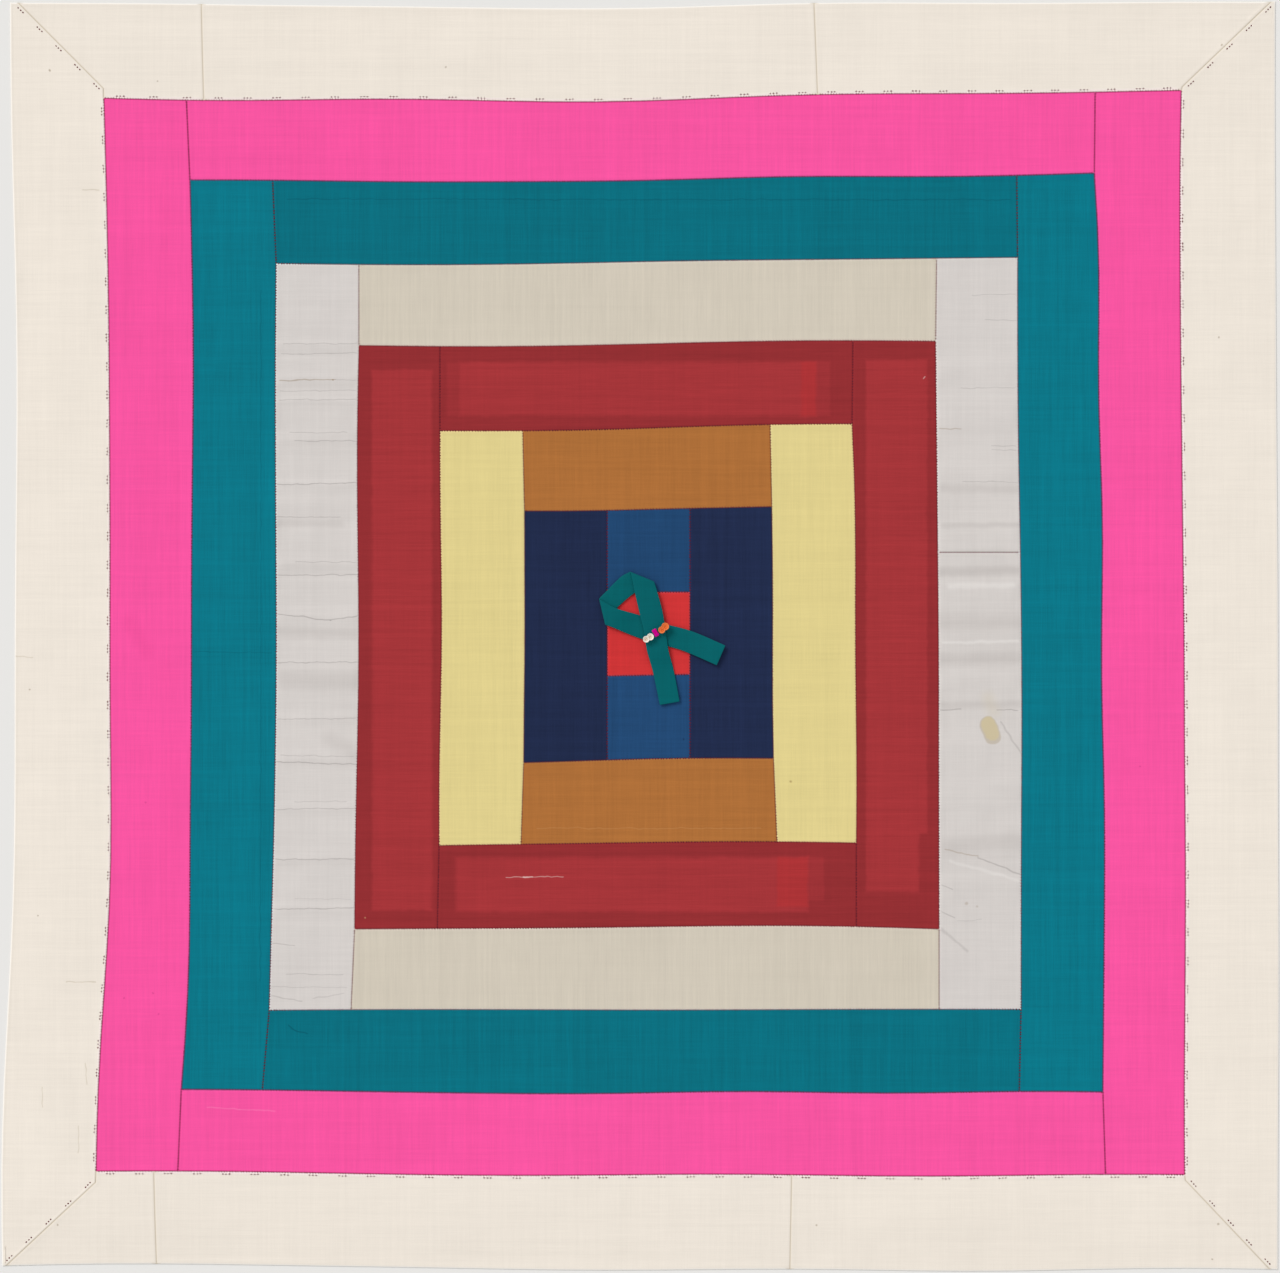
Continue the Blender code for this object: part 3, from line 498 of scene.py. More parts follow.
class StitchSettings(PropertyGroup):
    """The sewing on the seams and the border"""
    pitch: length_property("Pitch", "Distance between two whip stitches", 1.6)
    length: length_property("Length", "Length of a whip stitch across its seam", 1.15)
    width: length_property("Width", "Width of a whip stitch", 0.75)
    slant: FloatProperty(name="Slant", description="How far a whip stitch leans along its seam",
                         default=math.radians(22.0), subtype="ANGLE", unit="ROTATION")
    group_pitch: length_property("Group pitch", "Distance between two groups on the border", 16.6)
    group_size: IntProperty(name="Group", description="Stitches in a group", default=3, min=1)
    dash_pitch: length_property("Dash pitch", "Distance between the stitches of a group", 1.9)
    dash_length: length_property("Dash", "Length of a stitch in a group", 1.1)
    dash_width: length_property("Dash width", "Width of a stitch in a group", 0.8)
    dash_offset: length_property("Offset", "Distance from a group to the pink seam", 1.35)
    mitre_groups: IntProperty(name="Mitre groups", description="Groups along each mitre",
                              default=5, min=0)
    mitre_pitch: length_property("Mitre pitch", "Distance between groups along a mitre", 15.6)
    mitre_start: length_property("Mitre start", "Distance from the edge to a mitre's first group",
                                 5.0)
    mitre_offset: length_property("Mitre offset", "Distance from a group to its mitre", 2.0)


class TieSettings(PropertyGroup):
    """The ribbon of the tie"""
    thickness: length_property("Ribbon", "Thickness of the ribbon", 0.75)


class StageSettings(PropertyGroup):
    """Floor, lights and camera"""
    lens: FloatProperty(name="Lens", description="Focal length in millimetres", default=100.0,
                        min=1.0)
    frame_width: length_property("Frame", "Width of the floor that the picture shows", 742.4)
    frame_drop: length_property("Drop", "How far below the cloth's middle the picture is centred",
                                0.29)
    floor: FloatVectorProperty(name="Floor", description="Colour of the floor", subtype="COLOR",
                               size=3, min=0.0, max=1.0, default=(0.80, 0.79, 0.77))
    key: FloatProperty(name="Key light", description="Strength of the soft main light",
                       default=1.66, min=0.0)
    fill: FloatProperty(name="Fill light", description="Strength of the light from all round",
                        default=0.665, min=0.0)


class WrappingClothSettings(PropertyGroup):
    """All that a user may change"""
    colours: PointerProperty(type=SilkColours)
    cloth: PointerProperty(type=ClothSettings)
    stitch: PointerProperty(type=StitchSettings)
    tie: PointerProperty(type=TieSettings)
    stage: PointerProperty(type=StageSettings)


def deselect_all():
    """Leave nothing selected, because operators act on all that is."""
    for piece in bpy.context.view_layer.objects:
        piece.select_set(False)


def activate(piece):
    """Select one piece alone and make it active."""
    deselect_all()
    piece.select_set(True)
    bpy.context.view_layer.objects.active = piece


def edit(piece, *steps):
    """Run steps on one piece in edit mode, with everything selected before the first."""
    activate(piece)
    bpy.ops.object.mode_set(mode="EDIT")
    bpy.ops.mesh.select_all(action="SELECT")
    for step in steps:
        step()
    bpy.ops.object.mode_set(mode="OBJECT")


def select_parts(piece, domain, chosen):
    """Select some of a mesh's vertices, edges or faces in object mode."""
    mesh = piece.data
    for parts in (mesh.vertices, mesh.edges, mesh.polygons):
        parts.foreach_set("select", [False] * len(parts))
    parts = getattr(mesh, domain)
    parts.foreach_set("select", [bool(flag) for flag in chosen])
    mode = {"vertices": "VERT", "edges": "EDGE", "polygons": "FACE"}[domain]
    activate(piece)
    bpy.ops.object.mode_set(mode="EDIT")
    bpy.ops.mesh.select_mode(type=mode)
    bpy.ops.object.mode_set(mode="OBJECT")
    parts = getattr(piece.data, domain)
    parts.foreach_set("select", [bool(flag) for flag in chosen])


def finish_piece(piece, slot, silk, *nodes):
    """Give a piece its finish, hang it on the body that carries it and hide the solids that it stands in
    for.
    """
    piece.data.materials.clear()
    piece.data.materials.append(silk)
    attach(piece, "root")
    if nodes:
        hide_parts(*nodes)


# Shader nodes

def put(tree, socket, value):
    """Link a socket to another, or set its value."""
    if isinstance(value, bpy.types.NodeSocket):
        tree.links.new(value, socket)
    elif value is not None:
        socket.default_value = value


def node(tree, kind, inputs=None, **settings):
    """Add a shader node with its settings and inputs."""
    made = tree.nodes.new(kind)
    for key, value in settings.items():
        setattr(made, key, value)
    for key, value in (inputs or {}).items():
        put(tree, made.inputs[key], value)
    return made


def calc(tree, operation, *values, clamp=False):
    """One step of arithmetic."""
    made = node(tree, "ShaderNodeMath", dict(enumerate(values)), operation=operation)
    made.use_clamp = clamp
    return made.outputs[0]


def vector_calc(tree, operation, first, second=None, scale=None):
    """One step of vector arithmetic."""
    inputs = {0: first} if second is None else {0: first, 1: second}
    made = node(tree, "ShaderNodeVectorMath", inputs, operation=operation)
    if scale is not None:
        put(tree, made.inputs["Scale"], scale)
    single = operation in ("DOT_PRODUCT", "LENGTH", "DISTANCE")
    return made.outputs["Value" if single else "Vector"]


def soft_step(tree, value, low, high):
    """A smooth step from 0 at low to 1 at high."""
    made = node(tree, "ShaderNodeMapRange",
                {"Value": value, "From Min": low, "From Max": high},
                interpolation_type="SMOOTHSTEP", clamp=True)
    return made.outputs["Result"]


def streaks(tree, place, across, along, seed, detail):
    """Uneven lines: noise drawn out along one direction, centred on nought."""
    scaled = vector_calc(tree, "MULTIPLY", place, (across, along, 0.0))
    moved = vector_calc(tree, "ADD", scaled, (0.0, 0.0, seed))
    made = node(tree, "ShaderNodeTexNoise", {"Vector": moved, "Scale": 1.0, "Detail": detail,
                                             "Roughness": 0.55})
    return calc(tree, "SUBTRACT", made.outputs[0], 0.5)


def new_group(name, inputs, outputs):
    """A node group with its sockets. Also gives the nodes that stand for them."""
    group = bpy.data.node_groups.new(name, "ShaderNodeTree")
    for label, kind in inputs:
        group.interface.new_socket(name=label, in_out="INPUT", socket_type=f"NodeSocket{kind}")
    for label, kind in outputs:
        group.interface.new_socket(name=label, in_out="OUTPUT", socket_type=f"NodeSocket{kind}")
    return group, group.nodes.new("NodeGroupInput").outputs, group.nodes.new("NodeGroupOutput").inputs


def grain_group():
    """Woven silk: warp and weft streaks, unevenness and the weave's own height."""
    name = "Silk grain"
    if name in bpy.data.node_groups:
        return bpy.data.node_groups[name]
    group, given, result = new_group(
        name, (("Place", "Vector"), ("Warp", "Float"), ("Weft", "Float"), ("Mottle", "Float"),
               ("Rib", "Float"), ("Weave", "Float")),
        (("Tone", "Float"), ("Height", "Float"), ("Shine", "Float")))
    place = given["Place"]
    warp = calc(group, "ADD", streaks(group, place, 0.50, 0.006, 1.7, 5.0),
                streaks(group, place, 2.3, 0.05, 4.1, 2.0))
    weft = calc(group, "ADD", streaks(group, place, 0.006, 0.45, 7.3, 5.0),
                streaks(group, place, 0.05, 2.1, 9.9, 2.0))
    mottle = streaks(group, place, 0.030, 0.030, 12.4, 3.0)
    parts = node(group, "ShaderNodeSeparateXYZ", {0: place})
    turns = calc(group, "DIVIDE", math.tau, given["Weave"])
    along_x = calc(group, "SINE", calc(group, "MULTIPLY", parts.outputs["X"], turns))
    along_y = calc(group, "SINE", calc(group, "MULTIPLY", parts.outputs["Y"], turns))
    weave = calc(group, "MULTIPLY", along_x, along_y)
    ribs = calc(group, "MULTIPLY", weave, given["Rib"])
    tone = calc(group, "ADD", 1.0, ribs)
    for part, strength in ((warp, "Warp"), (weft, "Weft"), (mottle, "Mottle")):
        tone = calc(group, "ADD", tone, calc(group, "MULTIPLY", part, given[strength]))
    put(group, result["Tone"], tone)
    height = calc(group, "ADD", calc(group, "MULTIPLY", weave, 0.5),
                  calc(group, "ADD", warp, weft))
    put(group, result["Height"], height)
    put(group, result["Shine"], calc(group, "ADD", warp, mottle))
    return group


def mark_group():
    """A soft-edged line or spot of another colour, from one point to another."""
    name = "Silk mark"
    if name in bpy.data.node_groups:
        return bpy.data.node_groups[name]
    group, given, result = new_group(
        name, (("Silk", "Color"), ("Place", "Vector"), ("From", "Vector"), ("To", "Vector"),
               ("Half width", "Float"), ("Soft", "Float"), ("Colour", "Color"),
               ("Strength", "Float")), (("Silk", "Color"),))
    reach = vector_calc(group, "SUBTRACT", given["Place"], given["From"])
    line = vector_calc(group, "SUBTRACT", given["To"], given["From"])
    share = calc(group, "DIVIDE", vector_calc(group, "DOT_PRODUCT", reach, line),
                 vector_calc(group, "DOT_PRODUCT", line, line), clamp=True)
    nearest = vector_calc(group, "SCALE", line, scale=share)
    distance = vector_calc(group, "DISTANCE", reach, nearest)
    inner = calc(group, "MULTIPLY", given["Half width"],
                 calc(group, "SUBTRACT", 1.0, given["Soft"]))
    cover = calc(group, "SUBTRACT", 1.0, soft_step(group, distance, inner, given["Half width"]))
    mixed = node(group, "ShaderNodeMix",
                 {"Factor": calc(group, "MULTIPLY", cover, given["Strength"])}, data_type="RGBA")
    put(group, mixed.inputs[6], given["Silk"])
    put(group, mixed.inputs[7], given["Colour"])
    put(group, result["Silk"], mixed.outputs[2])
    return group


def patch_group():
    """A soft-edged square patch of another colour."""
    name = "Silk patch"
    if name in bpy.data.node_groups:
        return bpy.data.node_groups[name]
    group, given, result = new_group(
        name, (("Silk", "Color"), ("Place", "Vector"), ("Middle", "Vector"), ("Half", "Vector"),
               ("Soft", "Float"), ("Colour", "Color"), ("Strength", "Float")),
        (("Silk", "Color"),))
    offset = vector_calc(group, "ABSOLUTE", vector_calc(group, "SUBTRACT", given["Place"],
                                                        given["Middle"]))
    over = node(group, "ShaderNodeSeparateXYZ",
                {0: vector_calc(group, "SUBTRACT", offset, given["Half"])})
    outside = calc(group, "MAXIMUM", over.outputs["X"], over.outputs["Y"])
    inner = calc(group, "MULTIPLY", given["Soft"], -1.0)
    cover = calc(group, "SUBTRACT", 1.0, soft_step(group, outside, inner, given["Soft"]))
    mixed = node(group, "ShaderNodeMix",
                 {"Factor": calc(group, "MULTIPLY", cover, given["Strength"])}, data_type="RGBA")
    put(group, mixed.inputs[6], given["Silk"])
    put(group, mixed.inputs[7], given["Colour"])
    put(group, result["Silk"], mixed.outputs[2])
    return group


def flat_place(tree):
    """Where a point of the piece is, in millimetres, seen from above."""
    spot = node(tree, "ShaderNodeTexCoord").outputs["Object"]
    return vector_calc(tree, "MULTIPLY", spot, (1.0 / MM, 1.0 / MM, 0.0))


def add_marks(tree, silk, place, marks):
    """Draw marks on the silk, one over the other."""
    for mark in marks:
        made = node(tree, "ShaderNodeGroup", node_tree=mark_group())
        for label, value in (("Silk", silk), ("Place", place), ("From", (mark.x0, mark.y0, 0.0)),
                             ("To", (mark.x1, mark.y1, 0.0)), ("Half width", mark.half_width),
                             ("Soft", mark.soft), ("Colour", (*linear(mark.colour), 1.0)),
                             ("Strength", mark.strength)):
            put(tree, made.inputs[label], value)
        silk = made.outputs["Silk"]
    return silk


def add_patches(tree, silk, place, patches):
    """Draw the patches of sheer silk that are one layer thick."""
    for patch in patches:
        middle = ((patch.left + patch.right) / 2, (patch.low + patch.high) / 2, 0.0)
        half = ((patch.right - patch.left) / 2, (patch.high - patch.low) / 2, 0.0)
        made = node(tree, "ShaderNodeGroup", node_tree=patch_group())
        for label, value in (("Silk", silk), ("Place", place), ("Middle", middle),
                             ("Half", half), ("Soft", patch.soft),
                             ("Colour", (*linear(patch.colour), 1.0)),
                             ("Strength", patch.strength)):
            put(tree, made.inputs[label], value)
        silk = made.outputs["Silk"]
    return silk


def silk_material(name, slot, colour, weave, marks=(), patches=(), seams=True):
    """Woven silk of one colour, with its grain, its marks and what its seams show."""
    grain = GRAINS[slot]
    material = bpy.data.materials.new(name)
    material.use_nodes = True
    tree = material.node_tree
    tree.nodes.clear()
    place = flat_place(tree)
    wander = node(tree, "ShaderNodeTexNoise", {"Vector": place, "Scale": 0.16, "Detail": 2.0})
    shift = vector_calc(tree, "SUBTRACT", wander.outputs["Color"], (0.5, 0.5, 0.5))
    shifted = vector_calc(tree, "ADD", place, vector_calc(tree, "MULTIPLY", shift,
                                                         (2.2, 2.2, 0.0)))
    woven = node(tree, "ShaderNodeGroup", node_tree=grain_group())
    for label, value in (("Place", place), ("Warp", grain.warp), ("Weft", grain.weft),
                         ("Mottle", grain.mottle), ("Rib", grain.rib), ("Weave", weave)):
        put(tree, woven.inputs[label], value)
    silk = node(tree, "ShaderNodeRGB")
    silk.outputs[0].default_value = (*colour, 1.0)
    silk = silk.outputs[0]
    if patches:
        silk = add_patches(tree, silk, shifted, patches)
    silk = vector_calc(tree, "SCALE", silk, scale=woven.outputs["Tone"])
    if marks:
        silk = add_marks(tree, silk, shifted, marks)
    # Seam tint: partly the turned edge's own colour, partly painted shade in the groove and painted
    # highlight on the ridge
    if seams:
        tint = node(tree, "ShaderNodeAttribute", attribute_name="seam_tint")
        mixed = node(tree, "ShaderNodeMix", {"Factor": tint.outputs["Alpha"]}, data_type="RGBA")
        put(tree, mixed.inputs[6], silk)
        put(tree, mixed.inputs[7], tint.outputs["Color"])
        silk = mixed.outputs[2]
    bump = node(tree, "ShaderNodeBump", {"Height": woven.outputs["Height"], "Strength": 0.35,
                                         "Distance": 0.06 * MM})
    rough = calc(tree, "ADD", grain.roughness,
                 calc(tree, "MULTIPLY", woven.outputs["Shine"], 0.12), clamp=True)
    shader = node(tree, "ShaderNodeBsdfPrincipled",
                  {"Base Color": silk, "Roughness": rough, "Normal": bump.outputs[0],
                   "Sheen Weight": grain.sheen, "Sheen Roughness": 0.5,
                   "Specular IOR Level": grain.specular})
    output = node(tree, "ShaderNodeOutputMaterial", {"Surface": shader.outputs[0]})
    output.is_active_output = True
    return material


# Outlines of the strips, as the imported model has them

Outline = namedtuple("Outline", "points lengths neighbours")
_OUTLINES = {}


def top_sheet(node_name):
    """The upper face of a packed strip, as a mesh of mostly four-sided faces."""
    packed = frame["nodes"][node_name].data
    mesh = bpy.data.meshes.new(f"silk_{node_name}")
    mesh.from_pydata([vert.co[:] for vert in packed.vertices], [],
                     [face.vertices[:] for face in packed.polygons])
    builder = bmesh.new()
    builder.from_mesh(mesh)
    bmesh.ops.remove_doubles(builder, verts=builder.verts, dist=0.01 * MM)
    builder.normal_update()
    lower = [face for face in builder.faces if face.normal.z < 0.3]
    bmesh.ops.delete(builder, geom=lower, context="FACES")
    bmesh.ops.join_triangles(builder, faces=builder.faces, angle_face_threshold=math.pi,
                             angle_shape_threshold=math.pi)
    builder.to_mesh(mesh)
    builder.free()
    if not mesh.polygons:
        raise RuntimeError(f"{node_name} has no upper face")
    return mesh


def edge_loop(mesh):
    """Numbers of the vertices round a sheet's edge, anticlockwise."""
    builder = bmesh.new()
    builder.from_mesh(mesh)
    following = {loop.vert.index: loop.link_loop_next.vert.index
                 for face in builder.faces for loop in face.loops if loop.edge.is_boundary}
    builder.free()
    order = [min(following)]
    while following[order[-1]] != order[0]:
        order.append(following[order[-1]])
    return order


def pushed_out(points, distance):
    """A closed outline moved outwards by the same distance all round."""
    following = np.roll(points, -1, axis=0) - points
    following /= np.linalg.norm(following, axis=1)[:, None]
    normals = np.stack((following[:, 1], -following[:, 0]), axis=1)
    before = np.roll(normals, 1, axis=0)
    scale = distance / np.maximum(1.0 + (normals * before).sum(axis=1), 0.4)
    return points + (normals + before) * scale[:, None]


def outlines():
    """Every strip's outline in millimetres, with the strip that lies beyond each stretch."""
    if _OUTLINES:
        return _OUTLINES
    rings, samples = {}, []
    for name in SLOT_OF:
        mesh = top_sheet(name)
        loop = edge_loop(mesh)
        points = np.array([mesh.vertices[index].co.xy[:] for index in loop]) / MM
        bpy.data.meshes.remove(mesh)
        rings[name] = pushed_out(points, (MODEL_GAP - SEAM_SLIT) / 2)
    for name, points in rings.items():
        ends = np.roll(points, -1, axis=0)
        for start, end in zip(points, ends):
            pieces = max(1, math.ceil(np.linalg.norm(end - start) / SAMPLE_PITCH))
            for piece in range(pieces):
                samples.append((name, start + (end - start) * (piece + 0.5) / pieces))
    trees = {}
    for name in rings:
        others = [sample for sample in samples if sample[0] != name]
        tree = KDTree(len(others))
        for index, (_, point) in enumerate(others):
            tree.insert((point[0], point[1], 0.0), index)
        tree.balance()
        trees[name] = (tree, others)
    for name, points in rings.items():
        tree, others = trees[name]
        ends = np.roll(points, -1, axis=0)
        neighbours = []
        for start, end in zip(points, ends):
            pieces = max(1, math.ceil(np.linalg.norm(end - start) / SAMPLE_PITCH))
            row = []
            for piece in range(pieces):
                point = start + (end - start) * (piece + 0.5) / pieces
                _, index, distance = tree.find((point[0], point[1], 0.0))
                row.append(others[index][0] if distance < 1.5 * SAMPLE_PITCH else None)
            neighbours.append(row)
        _OUTLINES[name] = Outline(points, np.linalg.norm(ends - points, axis=1), neighbours)
    return _OUTLINES


def nearest_on_outline(outline, spots):
    """For each spot: its distance to the outline, and the strip beyond the nearest point."""
    starts = outline.points
    runs = np.roll(starts, -1, axis=0) - starts
    reach = spots[:, None, :] - starts[None, :, :]
    share = np.clip((reach * runs[None]).sum(axis=2) / (runs ** 2).sum(axis=1)[None], 0.0, 1.0)
    gaps = np.linalg.norm(reach - share[..., None] * runs[None], axis=2)
    nearest = gaps.argmin(axis=1)
    rows = np.arange(len(spots))
    beyond = []
    for row, segment in zip(rows, nearest):
        names = outline.neighbours[segment]
        beyond.append(names[min(int(share[row, segment] * len(names)), len(names) - 1)])
    return gaps[rows, nearest], beyond


def smooth_share(value):
    """A smooth step from 0 to 1."""
    share = np.clip(value, 0.0, 1.0)
    return share * share * (3.0 - 2.0 * share)


def lying_height(x, y, edge_height):
    """Height of the cloth's upper face away from creases and seams, in millimetres."""
    wave = (np.sin((x + SWELL_START[0]) / SWELL_LENGTH[0] * math.tau)
            * np.sin((y + SWELL_START[1]) / SWELL_LENGTH[1] * math.tau))
    from_middle = np.maximum(np.abs(x), np.abs(y)) - LEVEL_HALF_WIDTH
    fade = np.clip(from_middle / LEVEL_FADE, 0.0, 1.0)
    height = CLOTH_TOP + fade * SWELL * (1.0 + wave) * 0.5
    packed_low, packed_high = PACKED_BOX
    inside = np.minimum.reduce((x - packed_low[0], packed_high[0] - x,
                                y - packed_low[1], packed_high[1] - y))
    return edge_height + (height - edge_height) * smooth_share(inside / EDGE_EASE)


def strip_height(name, spots, settings):
    """Height, distance to the outline and neighbour for spots on one strip."""
    cloth = settings.cloth
    x, y = spots[:, 0], spots[:, 1]
    edge_height = cloth.edge_height / MM
    gap, beyond = nearest_on_outline(outlines()[name], spots)
    height = lying_height(x, y, edge_height)
    away = smooth_share(gap / SEAM_FADE)
    for fold in FOLDS.get(name, ()):
        bend = 2.0 * np.sin(x / 9.0 + fold.y)
        height += away * fold.rise * np.exp(-((y - fold.y - 0.3 * bend) / fold.half_width) ** 2)
    rumple = RUMPLE.get(SLOT_OF[name], RUMPLE_PLAIN)
    ripples = np.array([noise.noise(Vector((px, py, 5.0)) / RUMPLE_LENGTH)
                        for px, py in zip(x, y)])
    height += away * rumple * 2.0 * ripples
    ridge = cloth.seam_ridge / MM * np.exp(-((gap - 0.9) / 0.7) ** 2)
    groove = cloth.seam_groove / MM * np.exp(-(gap / 0.4) ** 2)
    return height + ridge - groove, gap, beyond


PACKED_BOX = tuple(tuple(value / MM for value in corner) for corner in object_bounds())


def seam_tint(slot, other):
    """The tint along a seam on one strip: partly the turned edge's own colour, partly painted shade and
    painted highlight.
    """
    return SEAM_TINTS.get((slot, other), SEAM_TINT_PLAIN)


def lay_strip(name, settings):
    """One strip of silk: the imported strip's upper face, cut fine, shaped and given thickness."""
    slot = SLOT_OF[name]
    mesh = top_sheet(name)
    outline = outlines()[name]
    order = edge_loop(mesh)
    for index, point in zip(order, outline.points):
        mesh.vertices[index].co.xy = Vector(point) * MM
    piece = bpy.data.objects.new(f"silk_{name}", mesh)
    bpy.context.scene.collection.objects.link(piece)

    flat = np.zeros(len(mesh.vertices) * 3)
    mesh.vertices.foreach_get("co", flat)
    flat[2::3] = 0.0
    mesh.vertices.foreach_set("co", flat)
    edit(piece, *[lambda width=width: bpy.ops.mesh.inset(thickness=width * MM, depth=0.0,
                                                        use_even_offset=True)
                  for width in RING_WIDTHS])
    long_edges = [(mesh.vertices[edge.vertices[0]].co - mesh.vertices[edge.vertices[1]].co).length
                  > SHORTEST_CUT * MM for edge in mesh.edges]
    select_parts(piece, "edges", long_edges)
    bpy.ops.object.mode_set(mode="EDIT")
    bpy.ops.mesh.subdivide(number_cuts=CUTS, smoothness=0.0)
    bpy.ops.object.mode_set(mode="OBJECT")

    count = len(mesh.vertices)
    flat = np.zeros(count * 3)
    mesh.vertices.foreach_get("co", flat)
    spots = flat.reshape(-1, 3)
    height, gap, beyond = strip_height(name, spots[:, :2] / MM, settings)
    spots[:, 2] = height * MM
    mesh.vertices.foreach_set("co", spots.ravel())

    # The seam tint holds painted shade and painted highlight along the seams, and partly the turned edges'
    # own colour
    tints = mesh.attributes.new("seam_tint", "FLOAT_COLOR", "POINT")
    rows = np.zeros((count, 4), np.float32)
    for index, (distance, other) in enumerate(zip(gap, beyond)):
        tint = seam_tint(slot, SLOT_OF.get(other))
        if distance < tint.reach:
            share = tint.strength * (1.0 - distance / tint.reach)
            rows[index] = (*linear(tint.colour), share)
        else:
            rows[index] = (*linear(tint.colour), 0.0)
    tints.data.foreach_set("color", rows.ravel())

    wall = piece.modifiers.new("Silk", "SOLIDIFY")
    wall.thickness = settings.cloth.silk_thickness
    wall.offset = -1.0
    activate(piece)
    bpy.ops.object.modifier_apply(modifier=wall.name)
    bpy.ops.object.shade_smooth_by_angle(angle=math.radians(60.0))

    colour = [value * TONES.get(name, 1.0) for value in getattr(settings.colours, slot)]
    weave = settings.cloth.weave / MM
    silk = silk_material(f"silk_{name}", slot, colour, weave, MARKS.get(name, ()),
                         PATCHES.get(name, ()))
    finish_piece(piece, slot, silk, name)


# Sewing

def seam_runs(name, other_wanted):
    """Stretches of a strip's outline that border wanted strips, as lists of points."""
    outline = outlines()[name]
    steps = []
    for start, end, names in zip(outline.points, np.roll(outline.points, -1, axis=0),
                                 outline.neighbours):
        for piece, other in enumerate(names):
            steps.append((start + (end - start) * piece / len(names),
                          start + (end - start) * (piece + 1) / len(names), other))
    wanted = [other_wanted(other) for _, _, other in steps]
    if all(wanted):
        return [[step[0] for step in steps] + [steps[0][0]]]
    first = next(index for index, flag in enumerate(wanted) if not flag)
    steps = steps[first:] + steps[:first]
    runs, run = [], []
    for start, end, other in steps:
        if other_wanted(other):
            run = run or [start]
            run.append(end)
        elif run:
            runs.append(run)
            run = []
    if run:
        runs.append(run)
    return runs


def along_run(run, distances):
    """Points and directions at given distances along a run."""
    points = np.array(run)
    steps = np.diff(points, axis=0)
    sizes = np.linalg.norm(steps, axis=1)
    travelled = np.concatenate(([0.0], np.cumsum(sizes)))
    found = []
    for distance in distances:
        index = min(max(int(np.searchsorted(travelled, distance)) - 1, 0), len(sizes) - 1)
        share = (distance - travelled[index]) / sizes[index]
        found.append((points[index] + steps[index] * share, steps[index] / sizes[index]))
    return found


def run_length(run):
    """Length of a run."""
    return float(np.linalg.norm(np.diff(np.array(run), axis=0), axis=1).sum())


def model_stitch():
    """One stitch of unit size: a short round stitch with tapering ends, along X."""
    deselect_all()
    bpy.ops.mesh.primitive_uv_sphere_add(segments=6, ring_count=4, radius=0.5,
                                         rotation=(0.0, math.pi / 2, 0.0))
    stitch = bpy.context.object
    stitch.name = "stitch_pattern"
    bpy.ops.object.transform_apply(location=True, rotation=True, scale=True)
    return stitch


def sew(name, stitches, silk):
    """Join copies of one stitch. Each row gives place, direction, length, width and height."""
    pattern = model_stitch()
    unit = np.array([vert.co[:] for vert in pattern.data.vertices])
    faces = [tuple(face.vertices) for face in pattern.data.polygons]
    bpy.data.objects.remove(pattern)
    points, polygons = [], []
    for index, (place, direction, length, width, height) in enumerate(stitches):
        along = np.array((direction[0], direction[1], 0.0))
        across = np.array((-direction[1], direction[0], 0.0))
        shaped = (unit[:, :1] * length * along + unit[:, 1:2] * width * across
                  + unit[:, 2:] * height * np.array((0.0, 0.0, 1.0)))
        points.append(shaped + np.array(place))
        polygons.extend(tuple(corner + index * len(unit) for corner in face) for face in faces)
    mesh = bpy.data.meshes.new(name)
    mesh.from_pydata((np.concatenate(points) * MM).tolist(), [], polygons)
    mesh.shade_smooth()
    piece = bpy.data.objects.new(name, mesh)
    bpy.context.scene.collection.objects.link(piece)
    finish_piece(piece, "thread", silk)
    return piece


def turned(direction, angle):
    """A flat direction turned by an angle."""
    cos, sin = math.cos(angle), math.sin(angle)
    return np.array((direction[0] * cos - direction[1] * sin,
                     direction[0] * sin + direction[1] * cos))


def whip_stitches(name, beyond, settings, draw):
    """Whip stitches along the seams between one strip and those of the strips beyond."""
    stitch = settings.stitch
    pitch = stitch.pitch / MM
    rows = []
    for run in seam_runs(name, lambda other: other in beyond):
        length = run_length(run)
        count = int(length / pitch)
        if count < 1:
            continue
        start = (length - (count - 1) * pitch) / 2
        places = [start + index * pitch + draw.uniform(-0.12, 0.12) * pitch
                  for index in range(count)]
        spots = along_run(run, places)
        heights, _, _ = strip_height(name, np.array([spot for spot, _ in spots]), settings)
        for (spot, direction), height in zip(spots, heights):
            across = turned(direction, math.pi / 2 + stitch.slant + draw.uniform(-0.15, 0.15))
            rows.append(((*spot, height + 0.14), across,
                         stitch.length / MM * draw.uniform(0.85, 1.15),
                         stitch.width / MM * draw.uniform(0.85, 1.15), 0.45))
    return rows


def dash_group(middle, direction, name, settings, draw):
    """A group of tiny stitches in a row."""
    stitch = settings.stitch
    rows = []
    count = stitch.group_size
    for index in range(count):
        shift = (index - (count - 1) / 2) * stitch.dash_pitch / MM
        spot = middle + direction * (shift + draw.uniform(-0.12, 0.12))
        spot = spot + turned(direction, math.pi / 2) * draw.uniform(-0.12, 0.12)
        height, _, _ = strip_height(name, np.array([spot]), settings)
        rows.append(((*spot, height[0] + 0.1), turned(direction, draw.uniform(-0.25, 0.25)),
                     stitch.dash_length / MM * draw.uniform(0.75, 1.1),
                     stitch.dash_width / MM * draw.uniform(0.8, 1.1), 0.4))
    return rows


def thread_material(settings):
    """The dark red thread, made once."""
    name = "sewing_thread"
    if name in bpy.data.materials:
        return bpy.data.materials[name]
    return silk_material(name, "thread", tuple(settings.colours.thread),
                         settings.cloth.weave / MM, seams=False)


# Tie

def layer_height(layer, lift=0.0):
    """Height of the ribbon's middle surface in a layer of the tie."""
    return (CLOTH_TOP + LAYER_GAP + MODEL_RIBBON / 2 + layer * (MODEL_RIBBON + LAYER_GAP) + lift)


